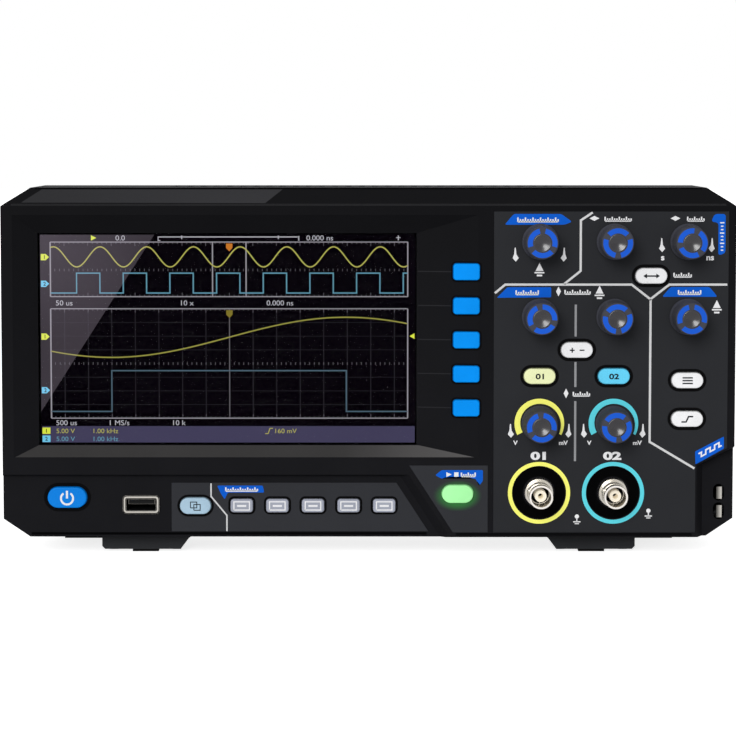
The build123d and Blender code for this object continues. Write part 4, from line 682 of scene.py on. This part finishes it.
def solid_piece(name, material, boxes=(), tubes=()):
    """Piece of thin walls: boxes (low, high) and tube sectors (centre, outer, inner, near, far, start, end)."""
    work = bmesh.new()
    for low, high in boxes:
        corners = [work.verts.new((x * MM, y * MM, z * MM)) for x in (low[0], high[0]) for y in (low[1], high[1])
                   for z in (low[2], high[2])]
        for face in ((0, 1, 3, 2), (4, 6, 7, 5), (0, 4, 5, 1), (2, 3, 7, 6), (0, 2, 6, 4), (1, 5, 7, 3)):
            work.faces.new([corners[i] for i in face])
    for centre, outer, inner, near, far, start, end in tubes:
        rows = [[work.verts.new((x * MM, y * MM, z * MM)) for x, z in arc(centre, radius, start, end, TUBE_STEPS)]
                for radius, y in ((outer, near), (inner, near), (inner, far), (outer, far))]
        for a, b in zip(rows, rows[1:] + rows[:1]):
            for i in range(TUBE_STEPS):
                work.faces.new((a[i], a[i + 1], b[i + 1], b[i]))
        for at in (0, TUBE_STEPS):
            work.faces.new([row[at] for row in rows])
    return make_piece(name, work, material, "root")


SOCKET_FRONT = box_mm("input_sockets")[0].y
BORE_R = 4.05
BARREL_R = 4.8
BORE_DEPTH = 9.0
CORE_R = 2.4
HOLE_R = 0.95
PIN_SIDE = 0.85  # a place on the contact pin beside its bore
BORE_END = SOCKET_FRONT + BORE_DEPTH
solid_piece("socket_bore_shade", BLACK_AND_SHADE, tubes=[
    (socket, BORE_R - 0.16, CORE_R + 0.08, BORE_END - 0.2, BORE_END - 0.05, -178, 178) for socket in SOCKETS])
# Painted highlight on the sockets' front rims, and painted shade in the holes of their contact pins.
bright_rims, holes = Drawing(), Drawing()
for socket in SOCKETS:
    bright_rims.ring(socket, BARREL_R - 0.05, BORE_R + 0.05)
    holes.disc(socket, HOLE_R, steps=16)
bright_rims.piece("socket_rims_painted_highlight", SOCKET_FRONT, RIM_HIGHLIGHT)
# Painted shade: black discs in the contact pins' holes.
holes.piece("socket_hole_painted_shade", face_of("input_sockets")(SOCKETS[0][0] + PIN_SIDE, SOCKETS[0][1]), BLACK)

USB_LOW, USB_HIGH = box_mm("usb_host_port")
USB_PLACE = middle("usb_host_port")
USB_BORE = (12.2, 4.9)
USB_WALL = 0.15
TONGUE_HALF_W = 5.35
TONGUE_Z = (-0.02, 1.72)  # its underside and top from the middle of the port


def port_outline(size, margin, corner):
    """Rounded outline inside a rectangle round the middle of the port."""
    return rounded(USB_PLACE, size[0] - margin, size[1] - margin, corner)


lip = (USB_HIGH.x - USB_LOW.x, USB_HIGH.z - USB_LOW.z)
# Painted shade round the outer edge of the port's lip and round its opening.
lip_shade = Drawing()
lip_shade.strip(port_outline(lip, 0.1, 1.5), port_outline(lip, 0.8, 1.2), closed=True)
lip_shade.strip(port_outline(lip, 2.1, 0.7), port_outline(USB_BORE, -0.1, 0.1), closed=True)
lip_shade.piece("usb_host_edge_shade", USB_LOW.y, BLACK_AND_SHADE)
ux, uz = USB_PLACE
left, right = ux - USB_BORE[0] / 2, ux + USB_BORE[0] / 2
low, high = uz - USB_BORE[1] / 2, uz + USB_BORE[1] / 2
near, far = USB_LOW.y + 0.1, USB_HIGH.y - 0.7
# Painted shade: a black box lining the inside of the port's metal shell.
solid_piece("usb_host_inner_shade", CONNECTOR, boxes=[
    ((left, near, high - USB_WALL), (right, far, high)),
    ((left, near, low), (right, far, low + USB_WALL)),
    ((left, near, low + USB_WALL), (left + USB_WALL, far, high - USB_WALL)),
    ((right - USB_WALL, near, low + USB_WALL), (right, far, high - USB_WALL)),
    ((left + USB_WALL, far - USB_WALL, low + USB_WALL), (right - USB_WALL, far, high - USB_WALL))])
tongue = Drawing().rectangle(ux - TONGUE_HALF_W, ux + TONGUE_HALF_W, uz + TONGUE_Z[0], uz + TONGUE_Z[1])
tongue.piece("usb_host_tongue_end", face_of("usb_host_port"), CONNECTOR)

# ---- Crown, recess and edges ----
CROWN_DROP = 6.8  # front edge of the crown below the top
SEAM_INSET = 13.0
CROWN_INSET = 4.5
LOW_EDGES = ((-139.0, 24.0), (36.0, 133.0))  # to either side of the groove beside the run plate
RECESS_DROP = 4.6  # low edge of the recess below the window's
badge = Drawing().polygon(on_crown(8.5, 5.9), on_crown(15.9, 0.7), on_crown(115.1, 0.7), on_crown(108.3, 6.1))
badge.piece("crown_blank_badge", on_housing, BADGE)
# Painted shade along the seam at the top of the crown.
seam = Drawing().rectangle(HOUSING_LOW.x + SEAM_INSET, HOUSING_HIGH.x - SEAM_INSET,
                           HOUSING_HIGH.z - 0.65, HOUSING_HIGH.z - 0.1)
seam.piece("crown_seam_shade", on_housing, BLACK_AND_SHADE)
# Painted shade along the low edge, to either side of the groove beside the run plate.
low_edge = Drawing()
for left, right in LOW_EDGES:
    low_edge.rectangle(left, right, PLATE_LOW.z - 1.4, PLATE_LOW.z - 0.4)
low_edge.piece("case_low_edge_shade", on_housing, BLACK_AND_SHADE)
crown_low = HOUSING_HIGH.z - CROWN_DROP
# Painted highlight along the crown's rounded lower edge.
crown_edge = Drawing().rectangle(HOUSING_LOW.x + CROWN_INSET, HOUSING_HIGH.x - CROWN_INSET,
                                 crown_low - 0.15, crown_low + 0.35)
crown_edge.piece("crown_edge_painted_highlight", on_housing, EDGE_LIGHT)
# Painted highlight on the recess's bottom facet, which faces up towards the light.
facet = Drawing().polygon((VIEW_LEFT - 9.3, VIEW_LOW - RECESS_DROP), (VIEW_RIGHT + 23.6, VIEW_LOW - RECESS_DROP),
                          (VIEW_RIGHT + 0.8, VIEW_LOW - 0.1), (VIEW_LEFT - 0.1, VIEW_LOW - 0.1))
facet.piece("recess_bottom_facet_highlight", on_housing, FACET_HIGHLIGHT)
fine_lines = Drawing()
for i in range(5):
    x, z = middle(f"softkey_{i + 1}")
    fine_lines.line((x - 19.9, z), (x - 6.2, z), width=0.45)
fine_lines.piece("recess_fine_lines", on_housing, FINE_LINE)

# ---- Strip and run plate printing ----
divider = Drawing()
divider.line(on_strip(16.3, 0.3), on_strip(16.3, 5.7), on_strip(22.8, 13.6), on_strip(22.8, 20.1), width=0.6)
divider.piece("strip_separator", STRIP_Y, WHITE_INK)
strip_tab = Drawing()
bevelled(strip_tab, [on_strip(18.8, 1.2), on_strip(37.6, 1.2), on_strip(38.2, 4.1), on_strip(23.2, 4.1),
                     on_strip(21.9, 6.9), on_strip(20.4, 4.6)], radius=0.6)
strip_tab.piece("strip_blue_tab", STRIP_Y, BLUE_INK)
strip_signs = Drawing()
ruler(strip_signs, on_strip(28.9, 2.7), 13.0, 1.5)
strip_signs.piece("strip_signs", STRIP_Y, PALE_INK, proud=SIGN_T)
run_tab = Drawing()
bevelled(run_tab, [on_run_plate(21.6, 4.0), on_run_plate(19.0, 1.9), on_run_plate(2.0, 1.9), on_run_plate(2.0, 6.4),
                   on_run_plate(3.6, 8.4), on_run_plate(5.0, 5.4), on_run_plate(19.0, 5.4)], radius=0.6)
run_tab.piece("run_blue_tab", FRONT_Y, BLUE_INK)
run_signs = Drawing()
run_signs.polygon(on_run_plate(17.0, 2.7), on_run_plate(17.0, 4.7), on_run_plate(14.8, 3.7))
run_signs.rectangle(RUN_HIGH.x - 13.8, RUN_HIGH.x - 12.0, RUN_HIGH.z - 4.6, RUN_HIGH.z - 2.8)
ruler(run_signs, on_run_plate(8.0, 3.7), 5.6, 1.6)
run_signs.piece("run_signs", FRONT_Y, PALE_INK, proud=SIGN_T)

# ---- Key rims, legends and the painted glow round the run key ----
PANEL_KEYS = ("horizontal_menu_button", "math_button", "channel_1_button", "channel_2_button",
              "trigger_menu_button", "trigger_force_button")
FUNCTION_KEYS = [f"function_key_{i + 1}" for i in range(5)]
SOFTKEYS = [f"softkey_{i + 1}" for i in range(5)]
FLANGE = 1.0  # hidden flange round a key, inside its node's box
RIM_GAP = 0.3  # from a key to the rim round it
HALO_R = (10.4, 6.8)


def key_size(name):
    """Width and height of a key, without its flange."""
    low, high = box_mm(name)
    return high.x - low.x - 2 * FLANGE, high.z - low.z - 2 * FLANGE


def key_rim(drawing, name, reach, corner=None):
    """Rim round a capsule key, or round a key with rounded corners."""
    outlines = [rounded(middle(name), *key_size(name), corner, margin) if corner
                else capsule(middle(name), *key_size(name), margin) for margin in (reach, RIM_GAP)]
    drawing.strip(*outlines, closed=True)


panel_rims, strip_rims, housing_rims = Drawing(), Drawing(), Drawing()
for name in PANEL_KEYS:
    key_rim(panel_rims, name, 1.5)
for name in FUNCTION_KEYS:
    key_rim(strip_rims, name, 1.0, corner=1.3)
key_rim(strip_rims, "copy_button", 1.2)
key_rim(housing_rims, "power_button", 1.7)
for name in SOFTKEYS:
    key_rim(housing_rims, name, 0.9, corner=1.0)
panel_rims.piece("panel_key_rims", FRONT_Y, BLACK)
strip_rims.piece("strip_key_rims", STRIP_Y, BLACK)
housing_rims.piece("housing_key_rims", on_housing, BLACK)
run_x, run_z = middle("run_stop_button")
run_w, run_h = key_size("run_stop_button")
# Painted pool of green light on the plate round the run key.
run_painted_glow = Drawing().strip(capsule((run_x, run_z), run_w + 1.0, run_h, 3.4),
                           capsule((run_x, run_z), run_w, run_h, RIM_GAP), closed=True)
run_painted_glow.piece("run_key_painted_halo", FRONT_Y,
               halo("run_key_painted_halo", INSERT_TONE, (30, 150, 40), (run_x, run_z - 0.8), HALO_R, 0.5))


def menu_bars(drawing, x, z):
    """Three bars."""
    for i in (-1, 0, 1):
        drawing.line((x - 2.1, z + 1.15 * i), (x + 2.1, z + 1.15 * i), width=0.55)


def left_right(drawing, x, z):
    """Arrow with two heads."""
    drawing.line((x - 2.2, z), (x + 2.2, z), width=0.6)
    for side in (-1, 1):
        drawing.polygon((x + side * 3.4, z), (x + side * 1.9, z + 1.0), (x + side * 1.9, z - 1.0))


def plus_minus(drawing, x, z):
    """Plus and minus."""
    drawing.line((x - 3.0, z), (x - 1.0, z), width=0.5)
    drawing.line((x - 2.0, z - 1.0), (x - 2.0, z + 1.0), width=0.5)
    drawing.line((x + 1.0, z), (x + 3.0, z), width=0.5)


def step_up(drawing, x, z):
    """Rising edge of a pulse."""
    drawing.line((x - 2.4, z - 1.1), (x - 0.5, z - 1.1), (x + 0.5, z + 1.1), (x + 2.4, z + 1.1), width=0.6)


def frame_line(drawing, x, z, half_w, half_h, width):
    """Outline of a rectangle."""
    corners = [(x - half_w, z - half_h), (x + half_w, z - half_h), (x + half_w, z + half_h), (x - half_w, z + half_h)]
    drawing.line(*corners, corners[0], width=width)


def sheets(drawing, x, z):
    """Two overlapping sheets."""
    for dx, dz in ((-0.7, 0.5), (0.7, -0.5)):
        frame_line(drawing, x + dx, z + dz, 1.3, 1.2, 0.35)


def function_legend(drawing, x, z):
    """Bar in a frame."""
    frame_line(drawing, x, z, 3.2, 1.7, 0.5)
    drawing.line((x - 1.9, z), (x + 1.9, z), width=0.8)


def power_sign(drawing, x, z):
    """Open circle with a bar."""
    drawing.strip(*[arc((x, z - 0.3), radius, 35, 325) for radius in (2.9, 2.1)])
    drawing.line((x, z - 0.3), (x, z + 2.9), width=0.85)


def figure(text):
    """Legend with a plain number."""
    return lambda drawing, x, z: drawing.label(text, (x, z), 2.3, squeeze=1.35, weight=0.03)


LEGENDS = [("horizontal_menu_button", left_right, DARK_INK), ("math_button", plus_minus, DARK_INK),
           ("trigger_menu_button", menu_bars, DARK_INK), ("trigger_force_button", step_up, DARK_INK),
           ("channel_1_button", figure("01"), DARK_INK), ("channel_2_button", figure("02"), DARK_INK),
           ("copy_button", sheets, DARK_INK), ("power_button", power_sign, PALE_INK)]
LEGENDS += [(name, function_legend, PALE_INK) for name in FUNCTION_KEYS]
for name, draw, material in LEGENDS:
    legend = Drawing()
    draw(legend, *middle(name))
    legend.piece(name + "_legend", box_mm(name)[0].y, material, body=name)

# ---- Knobs ----
RING_OUTER = 6.0
RING_INNER = 3.95
RING_SPAN = 94
KNOB_TURN = {"multipurpose": 0, "horizontal_position": 60, "horizontal_scale": -20, "vertical_position_1": 12,
             "vertical_position_2": -55, "trigger_level": 2, "vertical_scale_1": 5, "vertical_scale_2": -50}
DISH_R = 3.7
DISH_DEPTH = 0.85
DISH_T = 0.12
DISH_RINGS = 9
DISH_STEPS = 32
DISH_TIP_R = 0.05


def join_rows(work, one, other):
    """Faces between two closed rows of points."""
    for i in range(len(one)):
        j = (i + 1) % len(one)
        work.faces.new((one[i], one[j], other[j], other[i]))


def bowl(name, place, face_y, body):
    """Shallow finger dish in a knob's face: a thin curved shell with a rolled rim."""
    work = bmesh.new()
    skins = []
    for thickness in (0.0, DISH_T):
        rows = []
        for i in range(DISH_RINGS + 1):
            share = i / DISH_RINGS
            y = face_y - PRINT_T + thickness + DISH_DEPTH * math.cos(share * math.pi / 2) ** 1.3
            rows.append([work.verts.new((x * MM, y * MM, z * MM))
                         for x, z in circle(place, max(DISH_R * share, DISH_TIP_R), DISH_STEPS)])
        skins.append(rows)
    for rows in skins:
        work.faces.new(rows[0])
        for narrow, wide in zip(rows, rows[1:]):
            join_rows(work, narrow, wide)
    join_rows(work, skins[0][-1], skins[1][-1])
    return make_piece(name, work, KNOB_DISH, body, smooth=True)


for name, start in KNOB_TURN.items():
    node = "knob_" + name
    place = middle(node)
    face_y = box_mm(node)[0].y
    segments = Drawing()
    for i in range(3):
        begin = 60 + 120 * i - start - RING_SPAN / 2
        segments.strip(*[arc(place, radius, begin, begin + RING_SPAN) for radius in (RING_OUTER, RING_INNER)])
    segments.piece(node + "_ring", face_y, KNOB_BLUE, body=node)
    bowl(node + "_dish", place, face_y, node)

# ---- Display picture ----
PICTURE_W = 154.1
PICTURE_H = 85.9
MODULE_X, MODULE_Z = middle("display_module")
PICTURE_LEFT = MODULE_X - PICTURE_W / 2
PICTURE_TOP = MODULE_Z + PICTURE_H / 2
PICTURE_Y = box_mm("display_module")[0].y
LAYER = 0.012  # each layer of the picture lies this far ahead of the one behind

# Places in the picture are millimetres across and down from its upper left corner
GRID_LEFT, GRID_RIGHT = 4.2, 151.2
UPPER = (3.0, 25.5)
LOWER = (30.5, 75.8)
DIVISION = 9.7
GRID_MIDDLE = 77.8
TRACE = 0.5
PERIOD = 19.2
SINE = (9.1, 4.15, 5.5)  # middle, swing and first peak
SQUARE = (24.0, 15.8, 14.95)  # low, high and first rise
SLOW = (42.3, 8.3, 29.2, 96.6)  # middle, swing, lowest place and half a period
PULSE = (73.0, 56.1, 29.2, 125.9)  # low, high, rise and fall


def seen(across, down):
    """A place in the picture on the front."""
    return PICTURE_LEFT + across, PICTURE_TOP - down


def stroke(drawing, width, *places):
    """Line through places in the picture."""
    drawing.line(*[seen(*place) for place in places], width=width)


def shape(drawing, *places):
    """Filled outline of places in the picture."""
    return drawing.polygon(*[seen(*place) for place in places])


def block(drawing, left, right, top, bottom):
    """Upright rectangle in the picture."""
    return shape(drawing, (left, bottom), (right, bottom), (right, top), (left, top))


def write(drawing, height, *texts, squeeze=1.1, weight=0.0):
    """Numbers and units in the picture, each with its middle."""
    for text, across, down in texts:
        drawing.label(text, seen(across, down), height, squeeze, weight)


def layer(drawing, name, colour, level):
    """A layer of the picture, between the display module and the window."""
    drawing.piece("picture_" + name, PICTURE_Y - LAYER * (level - 1), SCREEN[colour], proud=LAYER, sink=0.0)


def curve(steps, down_at):
    """Places on a curve that runs the whole width of the grid."""
    places = [GRID_LEFT + (GRID_RIGHT - GRID_LEFT) * i / steps for i in range(steps + 1)]
    return [(across, down_at(across)) for across in places]


layer(block(Drawing(), 0, PICTURE_W, 0, PICTURE_H), "ground", "black", 1)

grid = Drawing()
for i in range(-7, 8):
    across = GRID_MIDDLE + DIVISION * i
    if i:
        stroke(grid, 0.35, (across, LOWER[0]), (across, LOWER[1]))
for i in (1, 2, 3, 5, 6, 7):
    down = LOWER[0] + (LOWER[1] - LOWER[0]) * i / 8
    stroke(grid, 0.2, (GRID_LEFT, down), (GRID_RIGHT, down))
layer(grid, "grid", "grid", 2)

ticks = Drawing()
stroke(ticks, 0.4, (GRID_MIDDLE, LOWER[0]), (GRID_MIDDLE, LOWER[1]))
for i in range(-38, 39):
    across = GRID_MIDDLE + DIVISION / 5 * i
    if GRID_LEFT < across < GRID_RIGHT:
        reach = 0.8 if i % 5 else 1.6
        for top, bottom in (UPPER, LOWER):
            stroke(ticks, 0.25, (across, top), (across, top + reach))
            stroke(ticks, 0.25, (across, bottom), (across, bottom - reach))
        for down in (14.5, (LOWER[0] + LOWER[1]) / 2):
            stroke(ticks, 0.25, (across, down - 0.5), (across, down + 0.5))
layer(ticks, "ticks", "ticks", 3)

frames = Drawing()
for top, bottom in (UPPER, LOWER):
    stroke(frames, 0.4, (GRID_LEFT, top), (GRID_RIGHT, top))
    stroke(frames, 0.4, (GRID_LEFT, bottom), (GRID_RIGHT, bottom))
    stroke(frames, 0.55, (GRID_LEFT, top), (GRID_LEFT, bottom))
    stroke(frames, 0.5, (GRID_RIGHT, top), (GRID_RIGHT, bottom))
for across in (70.9, 84.7):
    stroke(frames, 0.5, (across, UPPER[0]), (across, UPPER[1]))
layer(frames, "frames", "frame", 4)

square = Drawing()
low, high, first_rise = SQUARE
corners = [(GRID_LEFT, low)]
for i in range(8):
    rise = first_rise + PERIOD * i
    fall = rise + PERIOD / 2
    corners += [(rise, low), (rise, high), (fall, high), (fall, low)]
stroke(square, TRACE, *corners[:-2], (GRID_RIGHT, high))
layer(square, "square_wave", "cyan", 5)
pulse = Drawing()
low, high, rise, fall = PULSE
stroke(pulse, TRACE, (GRID_LEFT, low), (rise, low), (rise, high), (fall, high), (fall, low), (GRID_RIGHT, low))
layer(pulse, "square_wave_zoomed", "teal", 5)
sine = Drawing()
stroke(sine, TRACE, *curve(240, lambda x: SINE[0] - SINE[1] * math.cos(2 * math.pi * (x - SINE[2]) / PERIOD)))
layer(sine, "sine_wave", "yellow", 6)
slow = Drawing()
stroke(slow, TRACE, *curve(80, lambda x: SLOW[0] + SLOW[1] * math.cos(math.pi * (x - SLOW[2]) / SLOW[3])))
layer(slow, "sine_wave_zoomed", "amber", 6)
layer(block(Drawing(), 0.4, PICTURE_W, 79.1, PICTURE_H), "status_bar", "bar", 2)

yellow_marks, cyan_marks = Drawing(), Drawing()
for drawing, down in ((yellow_marks, 9.2), (yellow_marks, 42.0), (cyan_marks, 20.2), (cyan_marks, 64.2)):
    shape(drawing, (0.3, down - 1.3), (2.3, down - 1.3), (3.7, down), (2.3, down + 1.3), (0.3, down + 1.3))
shape(yellow_marks, (152.0, 41.8), (154.0, 40.6), (154.0, 43.0))
shape(yellow_marks, (21.0, 0.2), (21.0, 2.4), (23.2, 1.3))
block(yellow_marks, 0.4, 3.7, 79.7, 82.3)
block(cyan_marks, 0.4, 3.7, 83.0, 85.7)
layer(yellow_marks, "yellow_marks", "mark", 7)
layer(cyan_marks, "cyan_marks", "cyan_mark", 7)
for window, name, colour in ((UPPER, "trigger_mark", "orange"), (LOWER, "trigger_mark_zoomed", "olive")):
    down = window[0] + 0.6
    mark = shape(Drawing(), (76.5, down), (79.1, down), (79.1, down + 1.8), (77.8, down + 3.2), (76.5, down + 1.8))
    layer(mark, name, colour, 7)

figures = Drawing()
stroke(figures, 0.3, (49.5, 2.4), (48.6, 2.4), (48.6, 0.9), (49.5, 0.9))
stroke(figures, 0.4, (48.9, 0.9), (106.0, 0.9))
stroke(figures, 0.4, (106.4, 0.5), (106.4, 2.4))
for across in (58.3, 98.0):
    stroke(figures, 0.4, (across, 0.3), (across, 1.8))
stroke(figures, 0.3, (146.4, 1.2), (148.2, 1.2))
stroke(figures, 0.4, (147.3, 0.3), (147.3, 2.3))
write(figures, 2.1, ("0.0", 33.0, 1.3), ("0.000 ns", 115.0, 1.3), ("50 us", 9.8, 28.1), ("10 x", 60.5, 28.1),
      ("0.000 ns", 98.6, 28.1), ("500 us", 10.4, 77.7), ("1 MS/s", 32.3, 77.7), ("10 k", 57.0, 77.7))
layer(figures, "figures", "text", 8)
yellow_figures = Drawing()
write(yellow_figures, 1.9, ("5.00 V", 10.0, 81.1), ("1.00 kHz", 26.6, 81.1), ("160 mV", 101.0, 81.1))
stroke(yellow_figures, 0.35, (92.4, 82.2), (93.6, 82.2), (94.4, 80.0), (95.6, 80.0))
layer(yellow_figures, "yellow_figures", "yellow", 8)
cyan_figures = Drawing()
write(cyan_figures, 1.9, ("5.00 V", 10.0, 84.4), ("1.00 kHz", 26.6, 84.4))
layer(cyan_figures, "cyan_figures", "cyan", 8)
mark_figures = Drawing()
write(mark_figures, 1.6, ("1", 1.8, 9.2), ("1", 1.8, 42.0), ("1", 2.05, 81.0), ("2", 1.8, 20.2), ("2", 1.8, 64.2),
      ("2", 2.05, 84.35), squeeze=1.0, weight=0.02)
layer(mark_figures, "mark_figures", "black", 8)
# Painted reflection: a light patch across the window's upper left corner.
SCREEN["sheen"] = painted_glare_film("window_painted_glare", (55, 50, 56), seen(0, 0), seen(24.0, 37.0), PICTURE_Y)
layer(shape(Drawing(), (0, 0), (47.0, 0), (0, 73.0)), "window_painted_glare", "sheen", 10)


# ---- Floor, light and camera ----
def seen_directly(tree):
    """One for rays from the camera or through glass, and nought for the rest."""
    path = tree.add("ShaderNodeLightPath", {}).outputs
    return tree.add("ShaderNodeMath", {0: path["Is Camera Ray"], 1: path["Is Transmission Ray"]}, "MAXIMUM").outputs[0]


def choose(tree, dim, bright):
    """Shader that's the bright one where it's seen directly, and otherwise the dim one."""
    return tree.add("ShaderNodeMixShader", {0: seen_directly(tree), 1: dim, 2: bright}).outputs[0]


floor_mesh = bpy.data.meshes.new("floor")
floor_mesh.from_pydata([(x * FLOOR_REACH, y * FLOOR_REACH, 0) for x, y in ((-1, -1), (1, -1), (1, 1), (-1, 1))], [],
                       [(0, 1, 2, 3)])
floor = bpy.data.objects.new("floor", floor_mesh)
bpy.context.scene.collection.objects.link(floor)
floor_look = bpy.data.materials.new("floor_pale")
tree = Shading(floor_look)
paint = tree.nodes["Principled BSDF"]
tree.feed(paint, {"Base Color": PALE, "Roughness": 0.9, "Specular IOR Level": 0.0})
glow = tree.add("ShaderNodeEmission", {"Strength": FLOOR_GLOW}).outputs[0]
lit = tree.add("ShaderNodeAddShader", {0: paint.outputs[0], 1: glow}).outputs[0]
tree.feed(tree.nodes["Material Output"], {"Surface": choose(tree, paint.outputs[0], lit)})
floor_mesh.materials.append(floor_look)

world = bpy.data.worlds.new("studio")
bpy.context.scene.world = world
tree = Shading(world)
dim = tree.nodes["Background"]
tree.feed(dim, {"Color": WHITE, "Strength": AMBIENT})
bright = tree.add("ShaderNodeBackground", {"Color": WHITE}).outputs[0]
tree.feed(tree.nodes["World Output"], {"Surface": choose(tree, dim.outputs[0], bright)})

sun_data = bpy.data.lights.new("key", "SUN")
sun_data.energy = SUN_STRENGTH
sun_data.angle = math.radians(SUN_ANGLE)
sun = bpy.data.objects.new("key", sun_data)
sun.rotation_euler = Vector(SUN_FROM).to_track_quat("Z", "Y").to_euler()
bpy.context.scene.collection.objects.link(sun)

camera_data = bpy.data.cameras.new("camera")
camera_data.lens = CAMERA_LENS
camera_data.sensor_width = CAMERA_SENSOR
camera_data.shift_y = CAMERA_SHIFT
camera_data.clip_end = CAMERA_REACH
camera = bpy.data.objects.new("camera", camera_data)
camera.location = (CAMERA_SIDE * MM, (FRONT_Y - CAMERA_DISTANCE) * MM, CAMERA_HEIGHT * MM)
camera.rotation_euler = (math.radians(90 - CAMERA_PITCH), 0, 0)
bpy.context.scene.collection.objects.link(camera)
bpy.context.scene.camera = camera
bpy.context.scene.view_settings.view_transform = "Standard"
